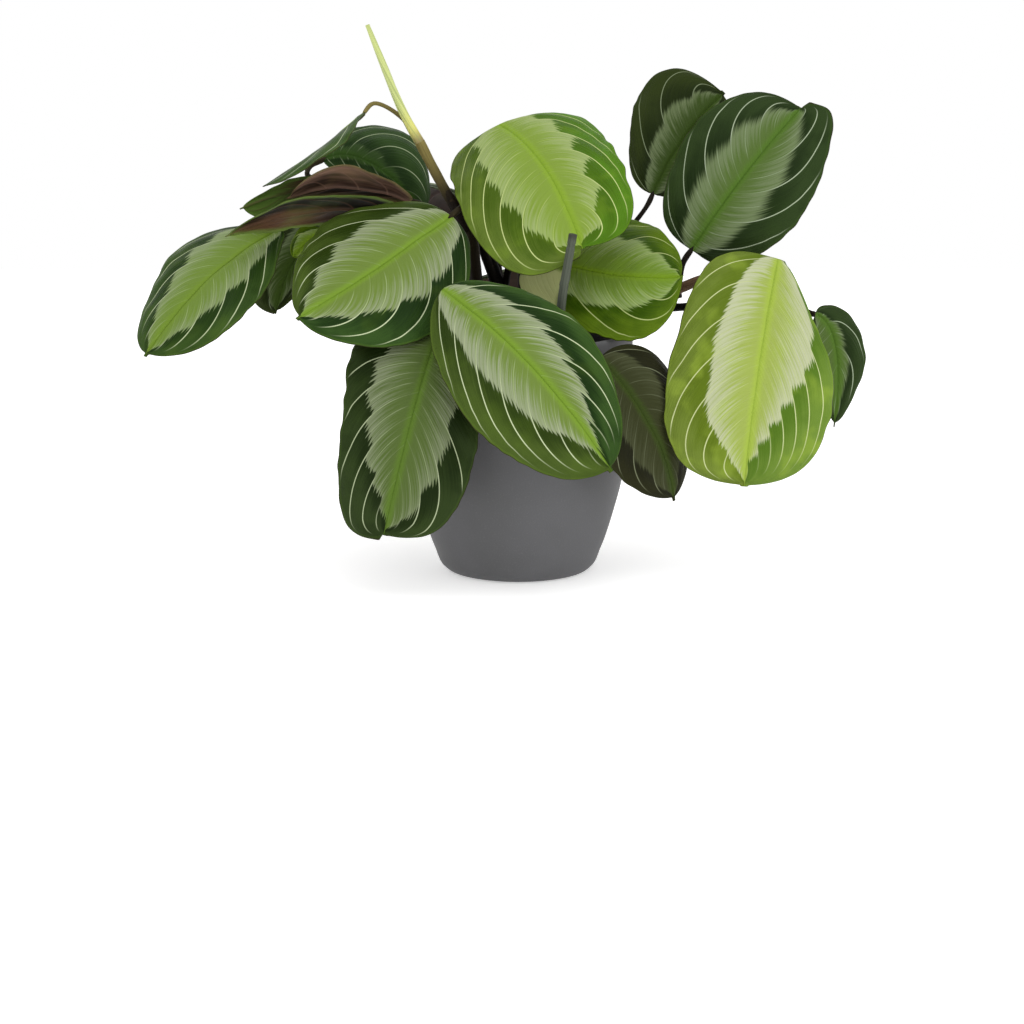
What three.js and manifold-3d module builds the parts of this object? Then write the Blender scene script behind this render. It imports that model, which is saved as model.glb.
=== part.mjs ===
// Potted prayer plant (maranta): a matte grey pot filled with soil, leafy shoots whose brown
// petioles end in broad, waved blades, one young leaf still rolled into a spear, and a cut stub.
// Millimetres, +Z up, origin at the centre of the pot's flat underside, front towards -Y.

import * as THREE from "three";
import { mergeVertices } from "three/addons/utils/BufferGeometryUtils.js";
import Module from "manifold-3d";

// ---- driving dimensions, mm ----
const POT_HEIGHT = 138;
const POT_RIM_RADIUS = 65;
const POT_WALL = 4;
const POT_FLOOR = 5;
const SOIL_LEVEL = 125;
const STEM_FOOT = 110;          // how deep the stems stand in the soil
const HOLE_MARGIN = 1.0;        // the plain holes round them
const BLADE_THICKNESS = 0.8;
const KNEE = 8;                 // straight end of a petiole before its blade
const GAP = 0.3;                // between touching pieces
const PETIOLE_SIDES = 6;

// ---- the blades ----
// base, mid and tip lie on the midrib; face is the way the upper side looks (face2 at the tip);
// half holds the half widths, [left, right] of the midrib seen from base to tip, each one number
// or its values near the base, in the middle and near the tip; reach is how far the margin goes
// back past the base and on past the tip; fold is the lift of each half at the midrib and curl
// how much it bends down on its way out, in degrees; wave is the margin's height, count, phase.
const LEAVES = [
  { name: "leaf_crown", base: [-11, 40, 250], mid: [15, -8, 230], tip: [35, -50, 190], face: [-0.15, -0.5, 0.85], half: [[63, 46, 60], [53, 54, 74]], reach: [[5, 6], [9, 18]], fold: [6, 6], curl: [-40, -30], wave: [1.5, 2, 0.1] },
  { name: "leaf_front", base: [-41, -66, 170], mid: [8, -96, 132], tip: [50, -108, 78], face: [0.1, -0.8, 0.55], half: [[36, 40, 41], [42, 46, 54]], reach: [[0, 2], [0, 4]], fold: [8, 4], curl: [-30, -30], wave: [1.2, 2, 0.3] },
  { name: "leaf_left_mid", base: [-37, -15, 204], mid: [-77, -48, 179], tip: [-119, -82, 156], face: [-0.15, -0.75, 0.65], half: [[42, 51, 47], [46, 50, 44]], reach: [[4, 4], [6, 0]], fold: [5, 8], curl: [-50, -30], wave: [1.2, 2, 0.2] },
  { name: "leaf_left_low", base: [-43, -56, 147], mid: [-57, -84, 104], tip: [-73, -90, 39], face: [-0.1, -0.97, 0.2], half: [[38, 38, 57], [56, 40, 48]], reach: [[0, 8], [0, 16]], fold: [8, 8], curl: [-30, -30], wave: [1.4, 2, 0.5] },
  { name: "leaf_far_left", base: [-134, 0, 195], mid: [-170, -40, 172], tip: [-202.5, -71, 134], face: [-0.35, -0.6, 0.72], half: [[24, 37, 48], [60, 41, 36]], reach: [[0, 2], [0, 2]], fold: [10, 10], curl: [-35, -35], wave: [1.2, 2, 0.0] },
  { name: "leaf_left_fold", base: [-64, 14, 202], mid: [-117, -16, 207], tip: [-160, -45, 196], face: [0.1, 0.85, 0.5], face2: [0.0, 0.6, 0.8], half: [[14, 15, 18], [14, 15, 14]], fold: [5, 5], curl: [-20, -20], wave: [1.0, 2, 0.0] },
  { name: "leaf_left_curl", base: [-60, 14, 209], mid: [-97, -2, 219], tip: [-128, -20, 214], face: [0.1, 0.7, 0.7], half: [[14, 22, 34], 9], fold: [5, 5], curl: [-20, -20], wave: [1.0, 2, 0.0] },
  { name: "leaf_left_high", base: [-112, 40, 230], mid: [-85, 36, 229], tip: [-53, 32, 201], face: [0.1, -0.75, 0.65], half: [[26, 42, 42], 15], reach: [[0, 2], [0, 0]], fold: [0, 0], curl: [-40, -40], wave: [1.0, 2, 0.0] },
  { name: "leaf_left_arch", base: [-86, 8, 259.5], mid: [-111, -6, 240], tip: [-142, -14, 220], face: [-0.55, -0.0, 0.83], half: [[13, 27, 28], 30], fold: [0, 0], curl: [-20, -20], wave: [1.0, 2, 0.0] },
  { name: "leaf_left_under", base: [-95, 17, 219], mid: [-122, 10, 217], tip: [-156, -2, 206.5], face: [-0.1, 0.9, 0.35], half: [[9, 8, 8], [14, 15, 20]], fold: [0, 0], curl: [-20, -20], wave: [1.0, 2, 0.0] },
  { name: "leaf_left_back", base: [-103, 24, 190], mid: [-125, 25, 178], tip: [-139, 22, 143.5], face: [-0.2, -0.9, 0.3], half: [[20, 20, 16], [20, 22, 34]], reach: [[0, 0], [0, 6]], fold: [5, 5], curl: [-30, -30], wave: [1.0, 2, 0.0] },
  { name: "leaf_left_small", base: [-110, 4, 193], mid: [-119, 1, 187], tip: [-127, -2, 179], face: [-0.2, -0.9, 0.3], half: [10, 10], fold: [5, 5], curl: [-30, -30], wave: [0.5, 2, 0.0] },
  { name: "leaf_right_back", base: [77, 34, 211], mid: [96, 50, 242], tip: [119, 58, 267], face: [-0.2, -0.85, 0.5], half: [[29, 38, 66], [36, 36, 36]], reach: [[0, 2], [0, 0]], fold: [8, 8], curl: [-30, -30], wave: [1.5, 2, 0.4] },
  { name: "leaf_right_high", base: [98, 8, 182], mid: [129, 16, 225], tip: [161, 34, 260], face: [-0.1, -0.9, 0.42], half: [[40.5, 42, 54], [39.5, 40.5, 37.5]], reach: [[4, 5], [6, 19]], fold: [8, 8], curl: [-25, -25], wave: [1.5, 2, 0.1] },
  { name: "leaf_centre_right", base: [7, 5, 179], mid: [55, -17, 171], tip: [91, -36, 173], face: [0.1, -0.7, 0.65], half: [[58, 49, 41], [36, 40, 58]], reach: [[4, 0], [8, 4]], fold: [5, 5], curl: [-30, -30], wave: [1.2, 2, 0.0] },
  { name: "leaf_right_low", base: [145, -15, 180], mid: [132, -50, 120], tip: [125, -57, 59], face: [0.15, -0.93, 0.3], half: [[50, 46, 63], [54, 50, 71]], reach: [[-21, 5], [8, 5]], fold: [8, 8], curl: [-30, -30], wave: [1.5, 2, 0.2] },
  { name: "leaf_far_right", base: [170, 15, 145], mid: [183, 20, 123], tip: [181, 6, 80.5], face: [0.3, -0.9, 0.2], half: [[15, 20, 18], [26, 25, 16]], fold: [5, 5], curl: [-30, -30], wave: [1.0, 2, 0.0] },
  { name: "leaf_right_dark", base: [44, -63, 131], mid: [72, -58, 95], tip: [87, -48, 49], face: [0.4, -0.85, 0.3], half: [[36, 30, 28], [26, 32, 38]], fold: [5, 5], curl: [-30, -20], wave: [1.0, 2, 0.0] },
  { name: "leaf_back_low", base: [2, 70, 163], mid: [2, 98, 138], tip: [-4, 112, 66], face: [0, 0.9, 0.4], half: [42, 42], fold: [5, 5], curl: [-30, -30], wave: [1.2, 2, 0.0] },
  { name: "leaf_back_left", base: [-40, 45, 162], mid: [-76, 78, 160], tip: [-98, 100, 118], face: [-0.2, 0.7, 0.7], half: [34, 34], fold: [5, 5], curl: [-30, -30], wave: [1.2, 2, 0.0] },
  { name: "leaf_back_mid", base: [-20, 62, 200], mid: [-48, 100, 205], tip: [-65, 132, 172], face: [0, 0.5, 0.85], half: [34, 34], fold: [5, 5], curl: [-30, -30], wave: [1.2, 2, 0.0] },
  { name: "leaf_back_right", base: [48, 60, 160], mid: [64, 90, 158], tip: [74, 122, 126], face: [0.2, 0.5, 0.85], half: [33, 33], fold: [5, 5], curl: [-30, -30], wave: [1.2, 2, 0.0] },
];

// ---- the petioles ----
// Each shoot is one stem: its petioles grow out of one foot and are joined to it. The last
// points before a blade follow from the blade itself, so the knee meets its base.
const PETIOLES = [
  { stem: "stem_left", leaf: "", radius: [4.2, 3.2], path: [[-20, 4, 110], [-21, 3, 140], [-24, 1, 170], [-27, 2, 196], [-32, 4, 208]] },
  { stem: "stem_left", leaf: "", radius: [4.6, 1.0], path: [[-27, 2, 194], [-38, 5, 212], [-49, 7, 227]] },
  { stem: "stem_left", leaf: "leaf_left_mid", radius: [2.4, 1.5], path: [[-26, 2, 186], [-28.5, -1.5, 203]] },
  { stem: "stem_left", leaf: "leaf_left_curl", radius: [2.4, 1.5], path: [[-24, 2, 168], [-36, 11, 196]] },
  { stem: "stem_left", leaf: "leaf_left_fold", radius: [2.4, 1.5], path: [[-22, 3, 158], [-34, 12, 188]] },
  { stem: "stem_left", leaf: "leaf_left_high", radius: [2.4, 1.5], path: [[-22, 4, 150], [-42, 30, 196], [-80, 58, 212], [-108, 56, 216], [-121, 47, 220]] },
  { stem: "stem_left", leaf: "leaf_left_arch", radius: [2.2, 1.0], path: [[-26.5, 2, 190], [-42.6, 7, 219], [-54.5, 9, 240.5], [-65.5, 10, 256.5]] },
  { stem: "stem_left", leaf: "leaf_left_under", radius: [2.4, 1.5], path: [[-22, 4, 150], [-42, 17, 190], [-68, 20, 204]] },
  { stem: "stem_left", leaf: "leaf_far_left", radius: [2.4, 1.5], path: [[-22, 4, 145], [-56, 19, 188], [-98, 15, 200]] },
  { stem: "stem_left", leaf: "leaf_left_back", radius: [2.4, 1.5], path: [[-21, 4, 140], [-52, 25, 178]] },
  { stem: "stem_left", leaf: "leaf_left_small", radius: [2.2, 1.3], path: [[-22, 4, 150], [-54, 18, 196], [-86, 13, 204]] },
  { stem: "stem_left", leaf: "spear_leaf", radius: [2.8, 2.9], path: [[-26.5, 2, 188], [-38.4, 6, 211], [-47, 6, 227], [-54, 5, 241]] },
  { stem: "stem_front", leaf: "", radius: [4.0, 2.4], path: [[-8, -16, 110], [-10, -18, 134], [-17, -27, 146]] },
  { stem: "stem_front", leaf: "leaf_front", under: 1, radius: [2.4, 1.6], path: [[-10, -18, 133], [-18, -31, 151], [-28, -50, 162], [-36, -58, 163]] },
  { stem: "stem_front", leaf: "leaf_left_low", radius: [2.4, 1.5], path: [[-10, -18, 132], [-22, -32, 146], [-34, -47, 153]] },
  { stem: "stem_front", leaf: "leaf_right_dark", radius: [2.2, 1.5], path: [[-9, -17, 131], [2, -36, 143], [10, -54, 149], [20, -65, 147], [31, -64, 142]] },
  { stem: "stem_centre", leaf: "", radius: [4.2, 3.0], path: [[-2, 10, 110], [-4, 10, 140], [-8, 11, 160]] },
  { stem: "stem_centre", leaf: "leaf_crown", under: 1, radius: [2.8, 1.7], path: [[-3, 10, 132], [-12, 14, 168], [-25, 24, 200], [-29, 36, 220], [-20, 46, 236]] },
  { stem: "stem_centre", leaf: "", radius: [3.6, 2.6], path: [[-2, 10, 110], [-6, 11, 140], [-13, 12.5, 163], [-19, 15, 180], [-22, 19, 194]] },
  { stem: "stem_centre", leaf: "leaf_centre_right", radius: [2.6, 1.6], path: [[-3, 10, 134], [-7, 13, 162]] },
  { stem: "stem_right", leaf: "", radius: [4.0, 2.8], path: [[22, 12, 110], [23, 12, 131], [38, 14, 144], [60, 13, 149], [78, 9, 153], [92, 5, 158]] },
  { stem: "stem_right", leaf: "leaf_right_back", radius: [2.1, 1.2], path: [[25, 12, 134], [46, 24, 160], [60.5, 30, 186]] },
  { stem: "stem_right", leaf: "leaf_right_high", radius: [2.2, 1.3], path: [[76, 9, 153], [90, 6, 163]] },
  { stem: "stem_right", leaf: "leaf_right_low", under: 1, radius: [3.3, 1.8], path: [[80, 9, 154], [93, 3, 161.5], [107, -1, 167.5], [122, 0.5, 170], [137, -1, 174.5]] },
  { stem: "stem_right", leaf: "leaf_far_right", under: 1, radius: [2.6, 1.5], path: [[64, 12, 149], [92, 11, 149], [130, 16, 152], [158, 21, 148]] },
  { stem: "stem_back", leaf: "", radius: [4.0, 2.6], path: [[2, 32, 110], [2, 33, 133], [0, 36, 146]] },
  { stem: "stem_back", leaf: "leaf_back_low", radius: [2.4, 1.5], path: [[2, 33, 132], [2, 46, 156]] },
  { stem: "stem_back", leaf: "leaf_back_left", radius: [2.4, 1.5], path: [[2, 33, 131], [-14, 38, 150]] },
  { stem: "stem_back", leaf: "leaf_back_mid", radius: [2.4, 1.5], path: [[1, 34, 135], [-9, 38, 158], [-13, 47, 180]] },
  { stem: "stem_back", leaf: "leaf_back_right", radius: [2.4, 1.5], path: [[2, 33, 132], [22, 44, 156]] },
];

const vec = (p) => new THREE.Vector3(p[0], p[1], p[2]);
const clamp = (x, lo, hi) => Math.min(hi, Math.max(lo, x));
const degrees = Math.PI / 180;

// half width of a blade as a share of its largest, from base (s = 0) to pointed tip (s = 1)
function outline(s) {
  const body = clamp(Math.sin(Math.PI * clamp(s / 0.975, 0, 1) ** 0.88), 0, 1) ** 0.56;
  const point = 0.085 * Math.sqrt(clamp((1 - s) / 0.12, 0, 1));
  return Math.max(body, point, 0.03);
}

// smooth curve through three widths at s = 0.15, 0.5 and 0.85
function widthAt(half, s) {
  if (!Array.isArray(half)) return half;
  const x = clamp((s - 0.5) / 0.35, -1.15, 1.15);
  return half[1] + x * (half[2] - half[0]) / 2 + x * x * ((half[0] + half[2]) / 2 - half[1]);
}

// midrib point P, direction T, sideways direction A (right) and upper-side normal N
function midrib(leaf, s) {
  const B = vec(leaf.base), M = vec(leaf.mid), E = vec(leaf.tip);
  const C = M.clone().multiplyScalar(2).addScaledVector(B, -0.5).addScaledVector(E, -0.5);
  const P = B.clone().multiplyScalar((1 - s) ** 2)
    .addScaledVector(C, 2 * s * (1 - s)).addScaledVector(E, s * s);
  const T = C.clone().sub(B).multiplyScalar(1 - s)
    .addScaledVector(E.clone().sub(C), s).normalize();
  const F = vec(leaf.face);
  if (leaf.face2) F.multiplyScalar(1 - s).addScaledVector(vec(leaf.face2), s);
  const A = T.clone().cross(F).normalize();
  const N = A.clone().cross(T);
  return { P, T, A, N };
}

// point of the blade's middle surface; v runs from -1 (left margin) to 1 (right margin)
function bladePoint(leaf, s, v) {
  const { P, T, A, N } = midrib(leaf, s);
  const side = v > 0 ? 1 : 0;
  const q = Math.abs(v);
  const W = widthAt(leaf.half[side], s) * outline(s);
  const fold = leaf.fold[side] * degrees;
  const curl = Math.abs(leaf.curl[side]) < 0.1 ? 1e-3 : leaf.curl[side] * degrees;
  const across = W / curl * (Math.sin(fold + curl * q) - Math.sin(fold));
  let rise = W / curl * (Math.cos(fold) - Math.cos(fold + curl * q));
  const [height, count, phase] = leaf.wave;
  rise += height * q * q * Math.sin(2 * Math.PI * (count * s + phase + 0.37 * side))
    * Math.sin(Math.PI * s);
  const reach = leaf.reach ? leaf.reach[side] : [0, 0];
  const back = s / 0.12 * Math.exp(1 - s / 0.12);
  const front = (1 - s) / 0.12 * Math.exp(1 - (1 - s) / 0.12);
  return P.addScaledVector(A, side ? across : -across)
    .addScaledVector(N, rise)
    .addScaledVector(T, (reach[1] * front - reach[0] * back) * q);
}

function bladeNormal(leaf, s, v) {
  const e = 2e-3;
  const s0 = Math.max(0, s - e), s1 = Math.min(1, s + e);
  const along = bladePoint(leaf, s1, v).sub(bladePoint(leaf, s0, v));
  const v0 = Math.max(-1, v - e), v1 = Math.min(1, v + e);
  const across = bladePoint(leaf, s, v1).sub(bladePoint(leaf, s, v0));
  return across.cross(along).normalize();
}

function geometryFrom(points, triangles) {
  const geometry = new THREE.BufferGeometry();
  const flat = new Float32Array(points.length * 3);
  points.forEach((p, i) => flat.set([p.x, p.y, p.z], i * 3));
  geometry.setAttribute("position", new THREE.BufferAttribute(flat, 3));
  geometry.setIndex(triangles);
  return geometry;
}

// a blade: the middle surface thickened both ways, split alike on both faces, closed at its edge
const ALONG = [0, 0.03, 0.09, 0.18, 0.29, 0.41, 0.53, 0.65, 0.76, 0.85, 0.92, 0.97, 1];
const ACROSS = [-1, -0.7, -0.36, 0, 0.36, 0.7, 1];

function bladeGeometry(leaf) {
  const columns = ACROSS.length;
  const top = [], bottom = [];
  for (const s of ALONG) {
    for (const v of ACROSS) {
      const P = bladePoint(leaf, s, v);
      const N = bladeNormal(leaf, s, v);
      top.push(P.clone().addScaledVector(N, BLADE_THICKNESS / 2));
      bottom.push(P.clone().addScaledVector(N, -BLADE_THICKNESS / 2));
    }
  }
  const size = top.length;
  const faces = [];
  for (let i = 0; i + 1 < ALONG.length; i++) {
    for (let j = 0; j + 1 < columns; j++) {
      const a = i * columns + j, b = a + columns, c = b + 1, d = a + 1;
      if (j < (columns - 1) / 2) faces.push([a, d, b], [d, c, b]);
      else faces.push([a, d, c], [a, c, b]);
    }
  }
  const triangles = [];
  const edges = new Map();
  for (const [a, b, c] of faces) {
    triangles.push(a, b, c, c + size, b + size, a + size);
    for (const [u, w] of [[a, b], [b, c], [c, a]]) edges.set(u + "," + w, [u, w]);
  }
  for (const [u, w] of edges.values()) {
    if (edges.has(w + "," + u)) continue;
    triangles.push(w, u, u + size, w, u + size, w + size);
  }
  return geometryFrom([...top, ...bottom], triangles);
}

// a round stalk along a smooth curve, its radius given at each share of its length
function stalkGeometry(path, radiusAt, rings, sides) {
  const curve = new THREE.CatmullRomCurve3(path.map(vec));
  const frames = curve.computeFrenetFrames(rings, false);
  const points = [];
  const triangles = [];
  for (let i = 0; i <= rings; i++) {
    const P = curve.getPointAt(i / rings);
    for (let k = 0; k < sides; k++) {
      const angle = 2 * Math.PI * k / sides;
      points.push(P.clone()
        .addScaledVector(frames.normals[i], Math.cos(angle) * radiusAt(i / rings))
        .addScaledVector(frames.binormals[i], Math.sin(angle) * radiusAt(i / rings)));
    }
  }
  for (let i = 0; i < rings; i++) {
    for (let k = 0; k < sides; k++) {
      const a = i * sides + k, b = i * sides + (k + 1) % sides;
      triangles.push(a, b, b + sides, a, b + sides, a + sides);
    }
  }
  const last = rings * sides;
  for (let k = 1; k + 1 < sides; k++) {
    triangles.push(0, k + 1, k, last, last + k, last + k + 1);
  }
  return geometryFrom(points, triangles);
}

const taper = (radius) => (t) => radius[0] + (radius[1] - radius[0]) * t;

// the petiole's own points, then the knee that its blade sets
function petiolePath(petiole) {
  const path = petiole.path.map((p) => [...p]);
  const leaf = LEAVES.find((item) => item.name === petiole.leaf);
  if (!leaf) return path;
  const { P, T, N } = midrib(leaf, 0);
  const end = P.clone();
  if (petiole.under) {
    end.addScaledVector(T, 1.5).addScaledVector(N, -BLADE_THICKNESS / 2 - 0.35);
    path.push(end.clone().addScaledVector(N, -5).toArray(), end.toArray());
  } else {
    path.push(P.clone().addScaledVector(T, -KNEE).toArray());
    path.push(end.addScaledVector(T, -GAP).toArray());
  }
  return path;
}

function pathLength(path) {
  let sum = 0;
  for (let i = 1; i < path.length; i++) sum += vec(path[i]).distanceTo(vec(path[i - 1]));
  return sum;
}

// ---- solids that are joined or cut ----
const wasm = await Module();
wasm.setup();

function toSolid(geometry) {
  const bare = geometry.clone();
  bare.deleteAttribute("normal");
  bare.deleteAttribute("uv");
  const merged = mergeVertices(bare, 1e-4);
  return new wasm.Manifold(new wasm.Mesh({
    numProp: 3,
    vertProperties: new Float32Array(merged.attributes.position.array),
    triVerts: new Uint32Array(merged.index.array),
  }));
}

function fromSolid(solid) {
  const mesh = solid.getMesh();
  const geometry = new THREE.BufferGeometry();
  geometry.setAttribute("position", new THREE.BufferAttribute(new Float32Array(mesh.vertProperties), 3));
  geometry.setIndex([...mesh.triVerts]);
  return geometry;
}

const RING_STEP = 11;           // mm between the rings of a petiole
const FEWEST_RINGS = 4, MOST_RINGS = 15;

function stemGeometry(stem) {
  let solid = null;
  for (const petiole of PETIOLES.filter((item) => item.stem === stem)) {
    const path = petiolePath(petiole);
    const rings = clamp(Math.round(pathLength(path) / RING_STEP), FEWEST_RINGS, MOST_RINGS);
    const sides = petiole.leaf ? PETIOLE_SIDES : PETIOLE_SIDES + 2;
    const part = toSolid(stalkGeometry(path, taper(petiole.radius), rings, sides));
    solid = solid ? solid.add(part) : part;
  }
  return fromSolid(solid);
}

// ---- pot: a tapered bowl with a rounded foot and a soft, straight rim ----
const POT_SIDE = [                                   // outer radius, height
  [POT_RIM_RADIUS - 24, 0.8], [POT_RIM_RADIUS - 20.6, 4], [POT_RIM_RADIUS - 17.4, 12],
  [POT_RIM_RADIUS - 14.7, 19], [POT_RIM_RADIUS - 9.3, 37], [POT_RIM_RADIUS - 5.2, 54],
  [POT_RIM_RADIUS - 2, 90], [POT_RIM_RADIUS, POT_HEIGHT - 8], [POT_RIM_RADIUS, POT_HEIGHT - 1.5],
  [POT_RIM_RADIUS - 1.2, POT_HEIGHT],
];
const POT_INSIDE = [                                 // inner radius, height
  [POT_RIM_RADIUS - POT_WALL + 1.2, POT_HEIGHT], [POT_RIM_RADIUS - POT_WALL, POT_HEIGHT - 1.5],
  [POT_RIM_RADIUS - POT_WALL, POT_HEIGHT - 8], [POT_RIM_RADIUS - POT_WALL - 2, 90],
  [POT_RIM_RADIUS - POT_WALL - 5.2, 54], [POT_RIM_RADIUS - POT_WALL - 10.5, 34],
  [POT_RIM_RADIUS - POT_WALL - 16.5, 18], [POT_RIM_RADIUS - POT_WALL - 22, POT_FLOOR + 1.5],
  [POT_RIM_RADIUS - POT_WALL - 27, POT_FLOOR],
];
const POT_SIDES = 48;

function lathe(profile, sides) {
  return new THREE.LatheGeometry(profile.map(([r, z]) => new THREE.Vector2(r, z)), sides)
    .rotateX(Math.PI / 2);
}

function potGeometry() {
  return lathe([[0, 0], [POT_RIM_RADIUS - 27, 0], ...POT_SIDE, ...POT_INSIDE, [0, POT_FLOOR]],
    POT_SIDES);
}

// ---- soil: fills the pot just inside its wall, with a plain hole for each stem ----
const SOIL_FALL = 1.5;          // from the soil's flat top to its edge
const SOIL_HEAP = 0.8;          // rise towards the middle
const SOIL_FLAT_RADIUS = 34;
const HOLE_LENGTH = 40;
const HOLE_SIDES = 16;

function soilGeometry() {
  const wall = POT_INSIDE.filter(([, z]) => z < SOIL_LEVEL).reverse()
    .map(([r, z]) => [r - GAP - 0.1, z + GAP]);
  const top = [[POT_RIM_RADIUS - POT_WALL - 0.9, SOIL_LEVEL - SOIL_FALL],
    [SOIL_FLAT_RADIUS, SOIL_LEVEL], [0, SOIL_LEVEL + SOIL_HEAP]];
  let solid = toSolid(lathe([[0, POT_FLOOR + GAP], ...wall, ...top], POT_SIDES));
  for (const [x, y, radius] of FEET) {
    const width = radius + HOLE_MARGIN;
    const hole = new THREE.CylinderGeometry(width, width, HOLE_LENGTH, HOLE_SIDES)
      .rotateX(Math.PI / 2).translate(x, y, STEM_FOOT - 1 + HOLE_LENGTH / 2);
    solid = solid.subtract(toSolid(hole));
  }
  return fromSolid(solid);
}

// where the stems stand, with the radius of each foot
const FEET = [[-20.4, 3.7, 4.2], [-2.8, 10, 4.2], [22.5, 12, 4.1], [-8.7, -16.8, 4.2], [2, 32.4, 4.1],
  [21.3, -45, 3.4]];

const SPEAR_PATH = [[-54.6, 4.9, 242], [-63.2, 3.4, 258], [-72.8, 1.5, 280.7], [-83.5, 0, 308]];
const spearRadius = (t) => 1.3 + 1.6 * (1 - t ** 1.5);
const STUB_PATH = [[21, -44, STEM_FOOT], [22, -47.5, 135], [23.8, -55, 162], [29.6, -60, 199]];
const stubRadius = (t) => 2.6 - 0.3 * t;

// ---- materials ----
const finish = (color, roughness) => new THREE.MeshStandardMaterial({ color, roughness, metalness: 0 });
const DARK_LEAF = 0x3d5c33, LIGHT_LEAF = 0x8fb04a, BROWN = 0x4a352b;
const LIGHT_LEAVES = ["leaf_crown", "leaf_centre_right", "leaf_right_low"];

const plant = new THREE.Group();

function addPiece(name, geometry, material) {
  const mesh = new THREE.Mesh(geometry, material);
  mesh.name = name;
  plant.add(mesh);
}

addPiece("pot", potGeometry(), finish(0x626164, 0.75));
addPiece("soil", soilGeometry(), finish(0x2e231c, 1));
for (const stem of [...new Set(PETIOLES.map((item) => item.stem))]) {
  addPiece(stem, stemGeometry(stem), finish(BROWN, 0.6));
}
addPiece("spear_leaf", stalkGeometry(SPEAR_PATH, spearRadius, 12, 8), finish(0xb9c77a, 0.5));
addPiece("cut_stub", stalkGeometry(STUB_PATH, stubRadius, 10, 8), finish(0x6f7d68, 0.7));
for (const leaf of LEAVES) {
  const color = LIGHT_LEAVES.includes(leaf.name) ? LIGHT_LEAF : DARK_LEAF;
  addPiece(leaf.name, bladeGeometry(leaf), finish(color, 0.45));
}

export default plant;
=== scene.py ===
# %% [markdown]
# # A potted prayer plant
#
# The model of the plant arrives as a fixed frame: plain solids for the pot, the soil, five leafy
# stems, a rolled young leaf, a cut stub and every blade. This notebook dresses it. Each blade is
# worked out again on a fine grid from the same midrib and widths, so it keeps its form and place
# and gains ribs, quilting and its painted pattern. The pot, soil and petioles follow the same way.

import math

import bpy
import numpy as np
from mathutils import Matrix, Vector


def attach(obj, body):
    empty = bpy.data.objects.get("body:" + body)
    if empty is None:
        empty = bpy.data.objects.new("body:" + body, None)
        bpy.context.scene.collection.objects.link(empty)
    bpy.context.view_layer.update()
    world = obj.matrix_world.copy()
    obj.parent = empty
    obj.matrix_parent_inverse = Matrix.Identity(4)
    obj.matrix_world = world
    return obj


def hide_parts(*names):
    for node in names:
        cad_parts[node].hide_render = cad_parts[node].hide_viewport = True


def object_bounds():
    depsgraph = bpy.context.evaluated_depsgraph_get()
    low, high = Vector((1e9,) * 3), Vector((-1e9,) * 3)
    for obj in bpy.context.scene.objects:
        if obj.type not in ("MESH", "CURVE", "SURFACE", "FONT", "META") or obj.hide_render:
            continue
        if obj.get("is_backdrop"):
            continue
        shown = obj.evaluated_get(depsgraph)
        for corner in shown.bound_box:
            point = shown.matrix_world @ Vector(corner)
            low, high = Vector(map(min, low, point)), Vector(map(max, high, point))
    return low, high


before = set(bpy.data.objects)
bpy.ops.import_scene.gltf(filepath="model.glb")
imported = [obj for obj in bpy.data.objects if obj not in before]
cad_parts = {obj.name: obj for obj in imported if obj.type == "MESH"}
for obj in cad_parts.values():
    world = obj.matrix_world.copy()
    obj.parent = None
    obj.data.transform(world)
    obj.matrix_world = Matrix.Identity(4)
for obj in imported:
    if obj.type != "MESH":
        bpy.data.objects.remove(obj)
cad_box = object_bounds()
MM = 0.001
print("nodes in the frame:", len(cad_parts))

# %% [markdown]
# ## Camera
#
# The photograph looks slightly down on the plant from in front, with a long lens that keeps the
# leaves nearly free of perspective. The lens and distance were chosen so that the pot's rim and
# foot show the same ellipses as in the photograph. The plant's place in the picture, with a wide
# white margin, follows the photograph too.

# %% Camera
EYE_ABOVE = math.radians(12.5)
EYE_DISTANCE = 1.6
LENS = 97.9
AIM = (-0.0034, 0.0, 0.032)

camera_data = bpy.data.cameras.new("camera")
camera_data.lens = LENS
camera = bpy.data.objects.new("camera", camera_data)
camera.location = (
    AIM[0],
    -EYE_DISTANCE * math.cos(EYE_ABOVE),
    AIM[2] + EYE_DISTANCE * math.sin(EYE_ABOVE),
)
camera.rotation_euler = (math.pi / 2 - EYE_ABOVE, 0, 0)
bpy.context.scene.collection.objects.link(camera)
bpy.context.scene.camera = camera
print("camera at", [round(x, 3) for x in camera.location])

# %% [markdown]
# ## Light and floor
#
# The plant was photographed for a catalogue: white all round, one large soft light above and in
# front, and hardly a shadow under the pot. A bright even sky gives the fill, a wide overhead
# panel the gloss on the leaves, and a smaller one from the right a little direction. Standard
# colour keeps the whites white, where a film-like curve would grey them.

# %% Light and floor
SKY = 1.0
PLANT_MIDDLE = (0.0, 0.0, 0.15)
FLOOR_REACH = 1.3
FLOOR_DROP = 0.0002


def add_panel(name, power, place, size):
    """A square soft light of power watts at place that faces the middle of the plant."""
    light = bpy.data.lights.new(name, "AREA")
    light.energy = power
    light.size = size
    panel = bpy.data.objects.new(name, light)
    panel.location = place
    away = np.subtract(place, PLANT_MIDDLE)
    flat = math.hypot(away[0], away[1])
    panel.rotation_euler = (math.atan2(flat, away[2]), 0, math.atan2(away[1], away[0]) + math.pi / 2)
    bpy.context.scene.collection.objects.link(panel)


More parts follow.
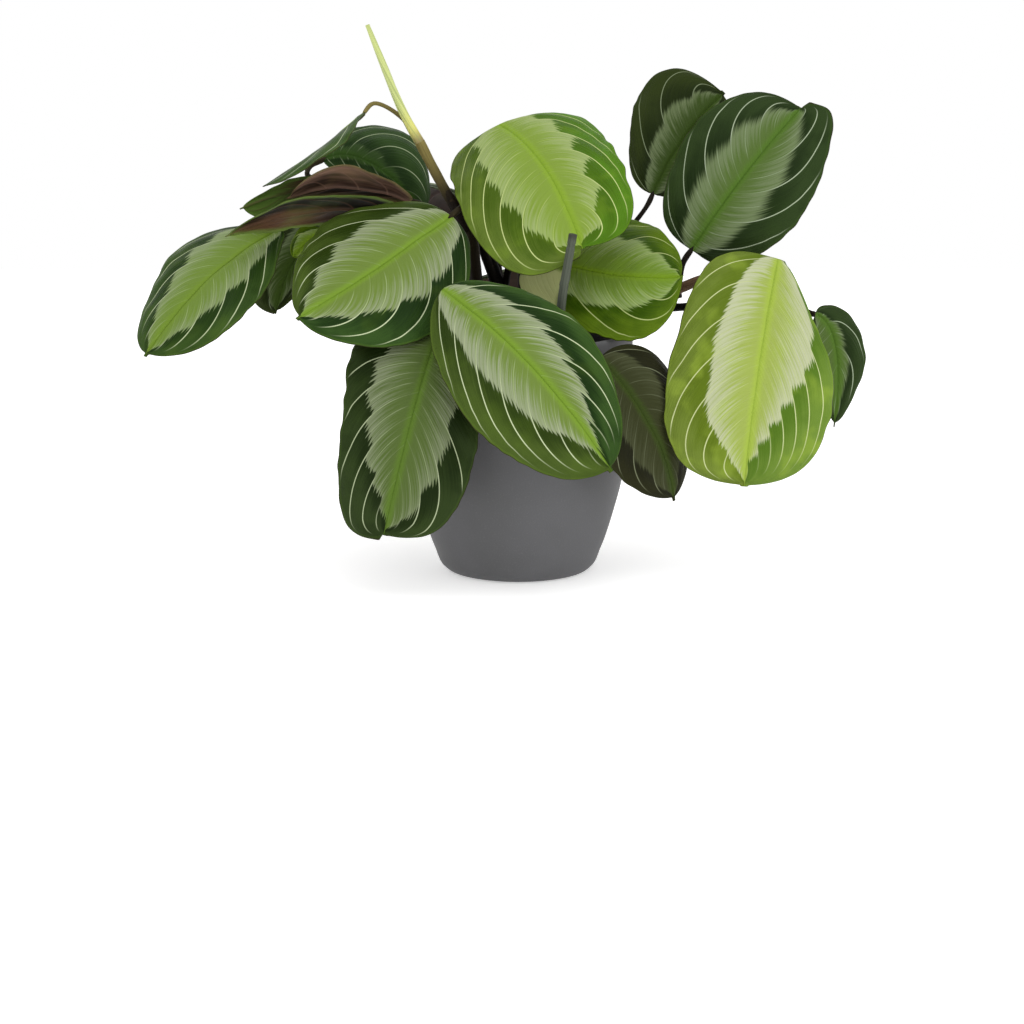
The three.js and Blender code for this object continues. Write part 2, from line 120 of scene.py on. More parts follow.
def add_floor():
    """A wide sheet just under the pot."""
    mesh = bpy.data.meshes.new("floor")
    around = ((-1, -1), (1, -1), (1, 1), (-1, 1))
    corners = [(x * FLOOR_REACH, y * FLOOR_REACH, -FLOOR_DROP) for x, y in around]
    mesh.from_pydata(corners, [], [(0, 1, 2, 3)])
    sheet = bpy.data.objects.new("floor", mesh)
    bpy.context.scene.collection.objects.link(sheet)
    sheet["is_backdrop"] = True
    return sheet


world = bpy.data.worlds.new("studio")
world.use_nodes = True
background = world.node_tree.nodes["Background"]
background.inputs["Color"].default_value = (1, 1, 1, 1)
background.inputs["Strength"].default_value = SKY
bpy.context.scene.world = world
bpy.context.scene.view_settings.view_transform = "Standard"
bpy.context.scene.view_settings.look = "None"
add_panel("light_above", 6.5, (0.15, -0.75, 1.5), 1.2)
add_panel("light_right", 3, (1.2, -1.0, 0.7), 0.9)
floor = add_floor()
print("lights: an even sky and two soft panels")

# %% [markdown]
# ## Finishes
#
# Every surface gets a procedural finish. The finishes share a few habits: add a node, plug in
# numbers or sockets alike, lay one colour over another, read a noise. A small class keeps those
# habits in one place, so that each finish below reads as a recipe. Colours are written as the eye
# sees them, in 0 to 255, and turned into the linear values that the shader needs.

# %% A class for building finishes
def seen(red, green, blue):
    """The linear colour of a colour as seen on a screen, 0 to 255 a channel."""
    share = np.array([red, green, blue]) / 255
    linear = np.where(share <= 0.04045, share / 12.92, ((share + 0.055) / 1.055) ** 2.4)
    return (*[float(x) for x in linear], 1.0)


class Finish:
    """A procedural material that grows one node at a time."""

    def __init__(self, name, roughness=0.5, specular=0.5, **settings):
        self.material = bpy.data.materials.new(name)
        self.material.use_nodes = True
        self.nodes = self.material.node_tree.nodes
        self.links = self.material.node_tree.links
        self.shader = self.nodes["Principled BSDF"]
        self.shader.inputs["Roughness"].default_value = roughness
        self.shader.inputs["Specular IOR Level"].default_value = specular
        for socket, value in settings.items():
            self.shader.inputs[socket.replace("_", " ").title()].default_value = value

    def plug(self, socket, value):
        """Joins a socket to value, or sets it where value is a plain number or colour."""
        if isinstance(value, bpy.types.NodeSocket):
            self.links.new(value, socket)
        elif value is not None:
            socket.default_value = value

    def node(self, kind, *values, **settings):
        """A new node with values for its first sockets, in their order."""
        made = self.nodes.new("ShaderNode" + kind)
        for key, value in settings.items():
            setattr(made, key, value)
        for socket, value in zip(made.inputs, values):
            self.plug(socket, value)
        return made

    def math(self, operation, *values):
        """One sum on sockets or numbers."""
        return self.node("Math", *values, operation=operation).outputs[0]

    def times(self, first, *others):
        """All the values multiplied."""
        for other in others:
            first = self.math("MULTIPLY", first, other)
        return first

    def less(self, value, other):
        """value minus other."""
        return self.math("SUBTRACT", value, other)

    def more(self, base, value, factor):
        """base plus factor times value."""
        return self.math("MULTIPLY_ADD", value, factor, base)

    def ease(self, value, low, high, start=0.0, end=1.0):
        """Rises smoothly from start to end while value goes from low to high."""
        made = self.node("MapRange", value, low, high, start, end, interpolation_type="SMOOTHSTEP")
        return made.outputs[0]

    def blend(self, share, under, over):
        """The colour under, covered by the colour over in the given share."""
        made = self.node("Mix", data_type="RGBA")
        for index, value in ((0, share), (6, under), (7, over)):
            self.plug(made.inputs[index], value)
        return made.outputs[2]

    def layers(self, skin, *layers):
        """The colour skin under one layer after another, each a share and a colour."""
        for share, colour in layers:
            skin = self.blend(share, skin, colour)
        return skin

    def vector(self, x, y, z):
        """Three values as one vector."""
        return self.node("CombineXYZ", x, y, z).outputs[0]

    def parts(self, vector):
        """The three values of a vector."""
        return self.node("SeparateXYZ", vector).outputs[:3]

    def noise(self, vector, scale=1.0, detail=2.0, roughness=0.5):
        """Smooth random values from about 0.2 to 0.8, around 0.5."""
        made = self.node("TexNoise")
        values = {"Vector": vector, "Scale": scale, "Detail": detail, "Roughness": roughness}
        for key, value in values.items():
            self.plug(made.inputs[key], value)
        return made.outputs["Fac"]

    def place(self):
        """The point's place in the object's own coordinates, in metres."""
        return self.node("TexCoord").outputs["Object"]

    def attribute(self, name):
        """The vector that the mesh carries under this name."""
        return self.node("Attribute", attribute_name=name).outputs["Vector"]

    def paint(self, colour):
        """The colour goes to the shader."""
        self.plug(self.shader.inputs["Base Color"], colour)

    def bump(self, height, distance, strength=1.0):
        """Shading as if the surface rose by height times distance, in metres."""
        made = self.node("Bump")
        for key, value in (("Height", height), ("Distance", distance), ("Strength", strength)):
            self.plug(made.inputs[key], value)
        self.plug(self.shader.inputs["Normal"], made.outputs[0])


print("a middle grey of 128 is", round(seen(128, 128, 128)[0], 3), "of full light")

# %% The floor's finish
FLOOR_GLOW = 0.4


def floor_finish():
    """A matte white light table that glows a little, so that the plant's shadow on it is faint,
    with the faintest clouding so that it isn't a dead flat tone."""
    finish = Finish("floor_paper", roughness=0.9, specular=0.1)
    cloud = finish.noise(finish.place(), scale=1.5)
    finish.paint(finish.blend(cloud, seen(250, 250, 249), seen(253, 253, 253)))
    finish.plug(finish.shader.inputs["Emission Color"], (1, 1, 1, 1))
    finish.plug(finish.shader.inputs["Emission Strength"], FLOOR_GLOW)
    return finish.material


floor.data.materials.append(floor_finish())
print("floor finish:", floor.data.materials[0].name)

# %% [markdown]
# ## Surfaces from numbers
#
# A grid of points is the simplest surface to work out with numpy: two parameters in, one array
# of points out. Two kinds cover the whole plant. A skin wraps a column of closed rings, as round
# a petiole, pot or stub, with a face across each end. A blade is a sheet whose upper and lower
# side share their edge, so it is closed without a visible rim.

# %% A piece from points and faces
def unit(vectors):
    """The vectors, each divided by its length."""
    return vectors / np.linalg.norm(vectors, axis=-1, keepdims=True)


def add_piece(name, points, faces, finishes, chosen=None, **attributes):
    """A shown object from points in millimetres, with a vector a point for every attribute."""
    mesh = bpy.data.meshes.new(name)
    mesh.from_pydata((np.asarray(points) * MM).tolist(), [], faces)
    for finish in finishes:
        mesh.materials.append(finish)
    if chosen is not None:
        mesh.polygons.foreach_set("material_index", chosen)
    for key, values in attributes.items():
        layer = mesh.attributes.new(key, "FLOAT_VECTOR", "POINT")
        layer.data.foreach_set("vector", np.asarray(values, np.float32).ravel())
    mesh.polygons.foreach_set("use_smooth", np.ones(len(faces), bool))
    mesh.update()
    piece = bpy.data.objects.new(name, mesh)
    bpy.context.scene.collection.objects.link(piece)
    return piece


def skin_faces(rings, sides, start=0):
    """Faces of a tube of rings, each joined to the next, and one face over each end."""
    row = np.arange(rings - 1)[:, None] * sides
    column = np.arange(sides)[None, :]
    following = (column + 1) % sides
    above = row + sides
    quads = np.stack([row + column, row + following, above + following, above + column], -1)
    foot = (start + np.arange(sides)[::-1]).tolist()
    head = (start + (rings - 1) * sides + np.arange(sides)).tolist()
    return (quads.reshape(-1, 4) + start).tolist() + [foot, head]


# %% Curves and rings
def smooth_curve(path, step=1.5):
    """Points about a step apart on a curve through the path's points. Between two points it is a
    cubic whose slopes weigh each chord by the root of its length, so it neither loops nor kinks.
    """
    path = np.asarray(path, float)
    path = np.vstack([2 * path[0] - path[1], path, 2 * path[-1] - path[-2]])
    span = np.sqrt(np.linalg.norm(np.diff(path, axis=0), axis=1))[:, None]
    slope = np.diff(path, axis=0) / span
    wide = (path[2:] - path[:-2]) / (span[1:] + span[:-1])
    at_point = slope[:-1] - wide + slope[1:]
    share = np.linspace(0, 1, 25)[None, :, None]
    a, b = path[1:-2, None], path[2:-1, None]
    leave, arrive = at_point[:-1, None] * span[1:-1, None], at_point[1:, None] * span[1:-1, None]
    fine = (
        a * (2 * share**3 - 3 * share**2 + 1)
        + leave * (share**3 - 2 * share**2 + share)
        + b * (3 * share**2 - 2 * share**3)
        + arrive * (share**3 - share**2)
    )
    fine = np.vstack([fine[:, :-1].reshape(-1, 3), path[-2]])
    length = np.concatenate([[0], np.cumsum(np.linalg.norm(np.diff(fine, axis=0), axis=1))])
    even = np.linspace(0, length[-1], max(6, int(length[-1] / step)))
    return np.stack([np.interp(even, length, fine[:, k]) for k in range(3)], 1), even


def rings_along(curve, radius, sides):
    """Rings of points round a curve: curve + radius * (cos a * side + sin a * up), where side is
    square to the curve and to the direction in which the whole curve spreads least. radius is one
    value a ring, or one a point of each ring."""
    tangent = unit(np.gradient(curve, axis=0))
    least = np.linalg.svd(curve - curve.mean(0))[2][2]
    side = unit(np.cross(tangent, least))
    up = np.cross(tangent, side)
    angle = np.linspace(0, 2 * np.pi, sides, endpoint=False)[None, :, None]
    radius = np.asarray(radius, float)
    radius = radius[:, None, None] if radius.ndim == 1 else radius[..., None]
    return curve[:, None] + radius * (np.cos(angle) * side[:, None] + np.sin(angle) * up[:, None])


print("points on a line of 30 mm:", len(smooth_curve([[0, 0, 0], [0, 0, 15], [0, 0, 30]])[0]))


# %% Random ripples
def ripples(points, count, size, seed):
    """Smooth random heights between about -1 and 1: a sum of sine waves in random directions."""
    draw = np.random.default_rng(seed)
    direction = unit(draw.normal(size=(count, 3))) * draw.uniform(0.6, 1.6, (count, 1)) / size
    phase = draw.uniform(0, 2 * np.pi, count)
    return np.sin(points @ (2 * np.pi * direction.T) + phase).sum(-1) / math.sqrt(count)

# %% [markdown]
# ## What a blade of this plant is
#
# A blade hangs on its midrib, a gently arched line from the petiole to a small point. From it
# each half rises or falls a little and curls down towards a waved margin. The same few numbers as
# in the solids say all of this: three points of the midrib, the direction in which the upper side
# looks, the half widths at three places, and the fold, curl and wave. Writing the surface as a
# formula keeps every blade where the frame has it, and the fine grid can then carry any relief.

# %% The blades
# base, mid and tip lie on the midrib, in mm. face is how the upper side looks, face2 at the tip.
# half: half widths [left, right] near the base, in the middle and near the tip. reach: how far the
# margin goes back past the base and on past the tip. fold and curl in degrees. wave: height, count
# and phase of the margin. look names the blade's colours. Some blades also have veins: bend, sweep
# and shift of each half; spacing of the veins in mm; band: the silver band's edge at four places on
# each half; step: how far the edge steps from vein to vein; silver: where silver starts; pale: 1
# for a cream lobe.
LEAVES = [
    dict(name="leaf_crown", look="lime", base=[-11, 40, 250], mid=[15, -8, 230], tip=[35, -50, 190],
         face=[-0.15, -0.5, 0.85], half=[[63, 46, 60], [53, 54, 74]],
         reach=[[5, 6], [9, 18]], fold=[6, 6], curl=[-40, -30], wave=[1.5, 2, 0.1],
         silver=0.2, veins=[[0.27, 0.32, 0.15], [0.32, 0.35, 0]], step=[-0.16, -0.08],
         band=[[0.45, 0.48, 0.47, 0.4], [0.57, 0.57, 0.52, 0.4]]),
    dict(name="leaf_front", look="deep", base=[-41, -66, 170], mid=[8, -96, 132], tip=[50, -108, 78],
         face=[0.1, -0.8, 0.55], half=[[36, 40, 41], [42, 46, 54]],
         reach=[[0, 2], [0, 4]], fold=[8, 4], curl=[-30, -30], wave=[1.2, 2, 0.3],
         silver=0.14, veins=[[0.65, 0.02, 0.55], [0.54, 0.2, 0]], step=[0.12, 0.02],
         band=[[0.57, 0.52, 0.36, 0.04], [0.5, 0.52, 0.44, 0.1]]),
    dict(name="leaf_left_mid", look="deep", base=[-37, -15, 204], mid=[-77, -48, 179], tip=[-119, -82, 156],
         face=[-0.15, -0.75, 0.65], half=[[42, 51, 47], [46, 50, 44]],
         reach=[[4, 4], [6, 0]], fold=[5, 8], curl=[-50, -30], wave=[1.2, 2, 0.2],
         silver=0.3),
    dict(name="leaf_left_low", look="shade", base=[-43, -56, 147], mid=[-57, -84, 104], tip=[-73, -90, 39],
         face=[-0.1, -0.97, 0.2], half=[[38, 38, 57], [56, 40, 48]],
         reach=[[0, 8], [0, 16]], fold=[8, 8], curl=[-30, -30], wave=[1.4, 2, 0.5],
         spacing=14.4, veins=[[0.6, -0.06, 0.3], [0.48, 0.03, 0.1]],
         band=[[0.64, 0.58, 0.52, 0.4], [0.5, 0.64, 0.5, 0.12]]),
    dict(name="leaf_far_left", look="meadow", base=[-134, 0, 195], mid=[-170, -40, 172],
         tip=[-202.5, -71, 134], face=[-0.35, -0.6, 0.72], half=[[24, 37, 48], [60, 41, 36]],
         reach=[[0, 2], [0, 2]], fold=[10, 10], curl=[-35, -35], wave=[1.2, 2, 0]),
    dict(name="leaf_left_fold", look="meadow", base=[-64, 14, 202], mid=[-117, -16, 207],
         tip=[-160, -45, 196], face=[0.1, 0.85, 0.5], face2=[0, 0.6, 0.8], half=[[14, 15, 18], [14, 15, 14]],
         fold=[5, 5], curl=[-20, -20], wave=[1, 2, 0]),
    dict(name="leaf_left_curl", look="moss", base=[-60, 14, 209], mid=[-97, -2, 219], tip=[-128, -20, 214],
         face=[0.1, 0.7, 0.7], half=[[14, 22, 34], 9],
         fold=[5, 5], curl=[-20, -20], wave=[1, 2, 0]),
    dict(name="leaf_left_high", look="moss", base=[-112, 40, 230], mid=[-85, 36, 229], tip=[-53, 32, 201],
         face=[0.1, -0.75, 0.65], half=[[26, 42, 42], 15],
         reach=[[0, 2], [0, 0]], fold=[0, 0], curl=[-40, -40], wave=[1, 2, 0],
         silver=0.6, spacing=12, band=[[0.2, 0.2, 0.1, 0], [0.2, 0.2, 0.1, 0]]),
    dict(name="leaf_left_arch", look="meadow", base=[-86, 8, 259.5], mid=[-111, -6, 240],
         tip=[-142, -14, 220], face=[-0.55, 0, 0.83], half=[[13, 27, 28], 30],
         fold=[0, 0], curl=[-20, -20], wave=[1, 2, 0],
         silver=0.5, band=[[0.1, 0.1, 0.05, 0], [0.1, 0.1, 0.05, 0]]),
    dict(name="leaf_left_under", look="moss", base=[-95, 17, 219], mid=[-122, 10, 217], tip=[-156, -2, 206.5],
         face=[-0.1, 0.9, 0.35], half=[[9, 8, 8], [14, 15, 20]],
         fold=[0, 0], curl=[-20, -20], wave=[1, 2, 0]),
    dict(name="leaf_left_back", look="dusk", base=[-103, 24, 190], mid=[-125, 25, 178], tip=[-139, 22, 143.5],
         face=[-0.2, -0.9, 0.3], half=[[20, 20, 16], [20, 22, 34]],
         reach=[[0, 0], [0, 6]], fold=[5, 5], curl=[-30, -30], wave=[1, 2, 0]),
    dict(name="leaf_left_small", look="olive", base=[-110, 4, 193], mid=[-119, 1, 187], tip=[-127, -2, 179],
         face=[-0.2, -0.9, 0.3], half=[10, 10],
         fold=[5, 5], curl=[-30, -30], wave=[0.5, 2, 0]),
    dict(name="leaf_right_back", look="dusk", base=[77, 34, 211], mid=[96, 50, 242], tip=[119, 58, 267],
         face=[-0.2, -0.85, 0.5], half=[[29, 38, 66], [36, 36, 36]],
         reach=[[0, 2], [0, 0]], fold=[8, 8], curl=[-30, -30], wave=[1.5, 2, 0.4],
         silver=0.15, band=[[0.4, 0.42, 0.36, 0.2], [0.4, 0.42, 0.36, 0.2]]),
    dict(name="leaf_right_high", look="forest", base=[98, 8, 182], mid=[129, 16, 225], tip=[161, 34, 260],
         face=[-0.1, -0.9, 0.42], half=[[40.5, 42, 54], [39.5, 40.5, 37.5]],
         reach=[[4, 5], [6, 19]], fold=[8, 8], curl=[-25, -25], wave=[1.5, 2, 0.1],
         silver=0.1, band=[[0.44, 0.48, 0.42, 0.3], [0.44, 0.48, 0.42, 0.3]]),
    dict(name="leaf_centre_right", look="olive", base=[7, 5, 179], mid=[55, -17, 171], tip=[91, -36, 173],
         face=[0.1, -0.7, 0.65], half=[[58, 49, 41], [36, 40, 58]],
         reach=[[4, 0], [8, 4]], fold=[5, 5], curl=[-30, -30], wave=[1.2, 2, 0],
         silver=0.2, pale=1),
    dict(name="leaf_right_low", look="lemon", base=[145, -15, 180], mid=[132, -50, 120], tip=[125, -57, 59],
         face=[0.15, -0.93, 0.3], half=[[50, 46, 63], [54, 50, 71]],
         reach=[[-21, 5], [8, 5]], fold=[8, 8], curl=[-30, -30], wave=[1.5, 2, 0.2],
         silver=0.12, spacing=17, veins=[[0.95, 0, -0.05], [0.44, 0.13, -0.2]], step=[-0.1, 0],
         band=[[0.75, 0.6, 0.28, 0.02], [0.46, 0.55, 0.52, 0.2]]),
    dict(name="leaf_far_right", look="forest", base=[170, 15, 145], mid=[183, 20, 123], tip=[181, 6, 80.5],
         face=[0.3, -0.9, 0.2], half=[[15, 20, 18], [26, 25, 16]],
         fold=[5, 5], curl=[-30, -30], wave=[1, 2, 0],
         silver=0.5, band=[[0.2, 0.25, 0.3, 0.2], [0.4, 0.6, 0.6, 0.3]]),
    dict(name="leaf_right_dark", look="umber", base=[44, -63, 131], mid=[72, -58, 95], tip=[87, -48, 49],
         face=[0.4, -0.85, 0.3], half=[[36, 30, 28], [26, 32, 38]],
         fold=[5, 5], curl=[-30, -20], wave=[1, 2, 0]),
    dict(name="leaf_back_low", look="shade", base=[2, 70, 163], mid=[2, 98, 138], tip=[-4, 112, 66],
         face=[0, 0.9, 0.4], half=[42, 42],
         fold=[5, 5], curl=[-30, -30], wave=[1.2, 2, 0]),
    dict(name="leaf_back_left", look="shade", base=[-40, 45, 162], mid=[-76, 78, 160], tip=[-98, 100, 118],
         face=[-0.2, 0.7, 0.7], half=[34, 34],
         fold=[5, 5], curl=[-30, -30], wave=[1.2, 2, 0]),
    dict(name="leaf_back_mid", look="shade", base=[-20, 62, 200], mid=[-48, 100, 205], tip=[-65, 132, 172],
         face=[0, 0.5, 0.85], half=[34, 34],
         fold=[5, 5], curl=[-30, -30], wave=[1.2, 2, 0]),
    dict(name="leaf_back_right", look="shade", base=[48, 60, 160], mid=[64, 90, 158], tip=[74, 122, 126],
         face=[0.2, 0.5, 0.85], half=[33, 33],
         fold=[5, 5], curl=[-30, -30], wave=[1.2, 2, 0]),
]
print("blades:", len(LEAVES))

# %% [markdown]
# ## The outline and the bend, as one surface
#
# Two parameters place a point: s runs along the midrib from 0 to 1, and v across it from -1 at the
# left margin to 1 at the right. The half width at s is a rounded, slightly egg-shaped outline
# times a smooth curve through the three given widths. Across the blade the point follows an arc
# whose angle starts at the fold and turns by the curl, so that the arc's length is the half width.

# %% The blade's surface
def outline(s):
    """Half width as a share of the largest: a power of a sine, plus a small point at the tip."""
    body = np.clip(np.sin(np.pi * np.clip(s / 0.975, 0, 1) ** 0.88), 0, 1) ** 0.56
    point = 0.085 * np.sqrt(np.clip((1 - s) / 0.12, 0, 1))
    return np.maximum(np.maximum(body, point), 0.03)


def width_at(half, s):
    """A parabola through the widths at s = 0.15, 0.5 and 0.85, or one width all along."""
    if np.isscalar(half):
        return half + 0 * s
    x = np.clip((s - 0.5) / 0.35, -1.15, 1.15)
    return half[1] + x * (half[2] - half[0]) / 2 + x * x * ((half[0] + half[2]) / 2 - half[1])


def midrib(leaf, s):
    """Point, direction, rightward and upward unit vectors on the midrib, a parabola whose middle
    control point is 2 * mid - (base + tip) / 2."""
    base, mid, tip = (np.array(leaf[key], float) for key in ("base", "mid", "tip"))
    control = 2 * mid - (base + tip) / 2
    s = np.asarray(s, float)[..., None]
    point = base * (1 - s) ** 2 + control * 2 * s * (1 - s) + tip * s * s
    along = unit((control - base) * (1 - s) + (tip - control) * s)
    face = np.array(leaf["face"]) * (1 - s) + np.array(leaf.get("face2", leaf["face"])) * s
    right = unit(np.cross(along, face))
    return point, along, right, np.cross(right, along)


def half_width(leaf, s, v):
    """The width given for that half at s, in mm, times the outline."""
    left, right = (width_at(half, s) for half in leaf["half"])
    return np.where(v > 0, right, left) * outline(s)


def blade_surface(leaf, s, v):
    """point + right * across + up * rise + along * reach. For a half width w, a fold f and a curl
    c the arc gives across = w / c * (sin(f + c q) - sin f) and rise = w / c * (cos f -
    cos(f + c q)), with q = |v|; the margin's wave adds to the rise by q squared."""
    point, along, right, up = midrib(leaf, s)
    q = np.abs(v)
    side = v > 0
    w = half_width(leaf, s, v)
    fold = np.radians(np.where(side, leaf["fold"][1], leaf["fold"][0]))
    curl = np.radians(np.where(side, leaf["curl"][1], leaf["curl"][0]))
    across = w / curl * (np.sin(fold + curl * q) - np.sin(fold))
    rise = w / curl * (np.cos(fold) - np.cos(fold + curl * q))
    height, count, phase = leaf["wave"]
    swing = np.sin(2 * np.pi * (count * s + phase + 0.37 * side))
    rise = rise + height * q * q * swing * np.sin(np.pi * s)
    reach = np.array(leaf.get("reach", [[0, 0], [0, 0]]), float)
    back = np.where(side, reach[1, 0], reach[0, 0]) * (s / 0.12) * np.exp(1 - s / 0.12)
    front = np.where(side, reach[1, 1], reach[0, 1]) * ((1 - s) / 0.12) * np.exp(1 - (1 - s) / 0.12)
    across = np.where(side, across, -across)
    return (
        point
        + right * across[..., None]
        + up * rise[..., None]
        + along * ((front - back) * q)[..., None]
    )


print("outline at 0.15, 0.5 and 0.85:", outline(np.array([0.15, 0.5, 0.85])).round(2))

# %% [markdown]
# ## Where the veins run
#
# The side veins leave the midrib at an angle, bend forward and end up running beside the margin
# towards the tip. A vein that leaves the midrib at u keeps its u along its whole way, so a formula
# that gives u at any point of the blade draws all of them: u = s (1 - bend q) - sweep q^3, where
# bend turns the veins forward, more so towards the tip, and sweep carries their outer ends along
# the margin. The number of the vein then follows from u. The painted pattern, the ribs and the
# quilting all read this one number, so they can't drift apart. The silver band's edge is a second
# reading, given at four places along the midrib, because it differs from blade to blade.

# %% Vein numbers on a blade
# VEINS_USUAL and BAND_USUAL hold a row for the left half and one for the right half of a blade.
VEIN_SPACING = 19.5
VEINS_USUAL = [[0.5, 0.16, 0.1], [0.55, 0.14, 0.6]]
THICKNESS = 0.5
ROWS = 136
COLUMNS = 43


def crowded(count, crowd):
    """Values from 0 to 1 that stand closer together at both ends: x - c / 2 pi * sin 2 pi x."""
    x = np.linspace(0, 1, count)
    return x - crowd / (2 * np.pi) * np.sin(2 * np.pi * x)


def vein_number(leaf, s, v):
    """count * u * (1.4 - 0.4 u) + shift, with u as above: veins stand a little further apart
    towards the tip, and the two halves have their own bend, sweep and shift."""
    q = np.abs(v)
    bend, sweep, shift = (
        np.where(v > 0, right, left) for left, right in zip(*leaf.get("veins", VEINS_USUAL))
    )
    u = s * (1 - bend * q) - sweep * q**3
    length = np.linalg.norm(np.subtract(leaf["tip"], leaf["base"]))
    count = length / leaf.get("spacing", VEIN_SPACING)
    return count * u * (1.4 - 0.4 * u) + shift


print("main veins on a half of the first blade:", int(vein_number(LEAVES[0], 1.0, 0.0)))

# %% The edge of the silver band
BAND_PLACES = [0.1, 0.4, 0.7, 0.9, 1.02]
BAND_USUAL = [[0.56, 0.58, 0.5, 0.36], [0.56, 0.58, 0.5, 0.36]]
STEP_USUAL = [-0.1, -0.1]


def band_edge(leaf, s, v):
    """Where the silver band ends, as a share of the half width: straight lines through the values
    given at four places along the midrib, down to nothing at the tip."""
    left, right = (np.interp(s, BAND_PLACES, [*side, 0]) for side in leaf.get("band", BAND_USUAL))
    return np.where(v > 0, right, left)


print("band edge halfway along the first blade:", float(band_edge(LEAVES[0], 0.5, 1.0).round(2)))

# %% [markdown]
# ## A blade as a thin closed sheet
#
# The real blade is about half a millimetre thick, sunk a little along the midrib and puffed up
# between the side veins, with the midrib standing out below. Its margin is slightly ruffled. Upper
# and lower side are the middle surface moved along its normal. They share the points of the
# margin, which closes the sheet.

# %% The grid of a blade
RUFFLE = 0.5
SCALLOP = 0.4


def blade_grid(leaf, seed):
    """The middle surface on a grid, with normals, vein numbers, the veins' spacing and distances
    in mm. Ripples of RUFFLE * q^5 along the normal and SCALLOP * q^8 outwards move only the margin.
    """
    s = crowded(ROWS, 0.55)[:, None]
    half = crowded(COLUMNS, 0.6)
    v = np.concatenate([-half[:0:-1], half])[None, :]
    s, v = np.broadcast_arrays(s, v)
    q = np.abs(v)
    surface = blade_surface(leaf, s, v)
    outward = unit(np.gradient(surface, axis=1)) * np.sign(v)[..., None]
    normal = unit(np.cross(np.gradient(surface, axis=1), np.gradient(surface, axis=0)))
    vein = vein_number(leaf, s, v)
    row_step = np.linalg.norm(np.gradient(surface, axis=0), axis=-1)
    column_step = np.linalg.norm(np.gradient(surface, axis=1), axis=-1)
    slope = np.hypot(np.gradient(vein, axis=0) / row_step, np.gradient(vein, axis=1) / column_step)
    spacing = np.clip(1 / np.maximum(slope, 1e-3), 0.3, 30)
    width = half_width(leaf, s, v)
    inside = np.sin(np.pi * s)
    ruffle = RUFFLE * ripples(surface, 6, 17, seed + 50) * q**5 * inside
    scallop = SCALLOP * ripples(surface, 6, 11, seed + 70) * q**8 * inside
    surface = surface + normal * ruffle[..., None] + outward * scallop[..., None]
    return s, v, q, surface, normal, vein, spacing, q * width, (1 - q) * width


# %% Upper and lower side
def blade_sides(s, surface, normal, vein, spacing, from_rib, from_edge, seed):
    """middle + n * (relief + t) above and middle + n * (relief - t - ribs) below. relief is a bulge
    between veins less a groove on the midrib, and half the thickness t falls to 0 at the edge."""
    from_end = np.minimum(s, 1 - s)
    inward = np.clip(from_edge / 4, 0, 1) * np.clip(from_end / 0.05, 0, 1)
    closing = np.clip(from_end / 0.01, 0, 1)
    bulge = np.sin(np.pi * vein) ** 2 * np.clip(spacing / 12, 0, 1) * np.clip(from_rib / 9, 0, 1)
    groove = np.exp(-((from_rib / 0.9) ** 2))
    swell = 0.3 * ripples(surface, 7, 38, seed) + 0.14 * ripples(surface, 9, 20, seed + 30)
    relief = inward * (0.6 * bulge - 0.4 * groove + swell)
    t = THICKNESS / 2 * np.sqrt(np.clip(from_edge / 0.5, 0, 1)) * closing
    midrib_height = (0.25 + 1.05 * (1 - s) ** 0.7) * np.exp(-((from_rib / 1.15) ** 2)) * closing
    nearest = np.abs((vein + 0.5) % 1 - 0.5) * spacing
    side_rib = 0.16 * np.exp(-((nearest / 0.6) ** 2)) * inward
    top = surface + normal * (relief + t)[..., None]
    below = surface + normal * (relief - t - midrib_height - side_rib)[..., None]
    return top, below


def sheet_faces(rows, columns):
    """Faces of an upper and a lower grid that share the points of their border."""
    upper = np.arange(rows * columns).reshape(rows, columns)
    lower = upper.copy()
    lower[1:-1, 1:-1] = rows * columns + np.arange((rows - 2) * (columns - 2)).reshape(rows - 2, -1)
    above = np.stack([upper[:-1, :-1], upper[:-1, 1:], upper[1:, 1:], upper[1:, :-1]], -1)
    beneath = np.stack([lower[:-1, :-1], lower[1:, :-1], lower[1:, 1:], lower[:-1, 1:]], -1)
    return np.concatenate([above.reshape(-1, 4), beneath.reshape(-1, 4)]).tolist()


def both_sides(upper, lower):
    """Values of the upper grid, and then those of the lower grid within the shared border."""
    return np.concatenate([upper.reshape(-1, 3), lower[1:-1, 1:-1].reshape(-1, 3)])


# %% Build a blade
SILVER_USUAL = 0.25


def add_blade(leaf, upper, lower, seed):
    """The sheet with its attributes: pattern is vein number, spacing in mm and v; place is the
    distance from the midrib and from the margin in mm, and s; band is the edge, the step from
    vein to vein and where silver starts; patch marks a pale lobe at the right of the base."""
    s, v, q, surface, normal, vein, spacing, from_rib, from_edge = blade_grid(leaf, seed)
    top, below = blade_sides(s, surface, normal, vein, spacing, from_rib, from_edge, seed)
    faces = sheet_faces(*s.shape)
    step_left, step_right = leaf.get("step", STEP_USUAL)
    step = np.where(v > 0, step_right, step_left)
    lobe = np.clip((0.24 + 0.06 * q - s) / 0.03, 0, 1) * np.clip((v - 0.12) / 0.1, 0, 1)
    values = dict(
        pattern=(vein, spacing, v),
        place=(from_rib, from_edge, s),
        band=(band_edge(leaf, s, v), step, leaf.get("silver", SILVER_USUAL) + 0 * s),
        patch=(leaf.get("pale", 0) * lobe, 0 * s, 0 * s),
    )
    grids = {key: np.stack(three, -1) for key, three in values.items()}
    chosen = np.repeat([0, 1], len(faces) // 2).astype(np.int32)
    piece = add_piece(leaf["name"].replace("leaf_", "blade_"), both_sides(top, below), faces,
                      [upper, lower], chosen, **{key: both_sides(grid, grid) for key, grid in grids.items()})
    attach(piece, "root")
    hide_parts(leaf["name"])
    return piece

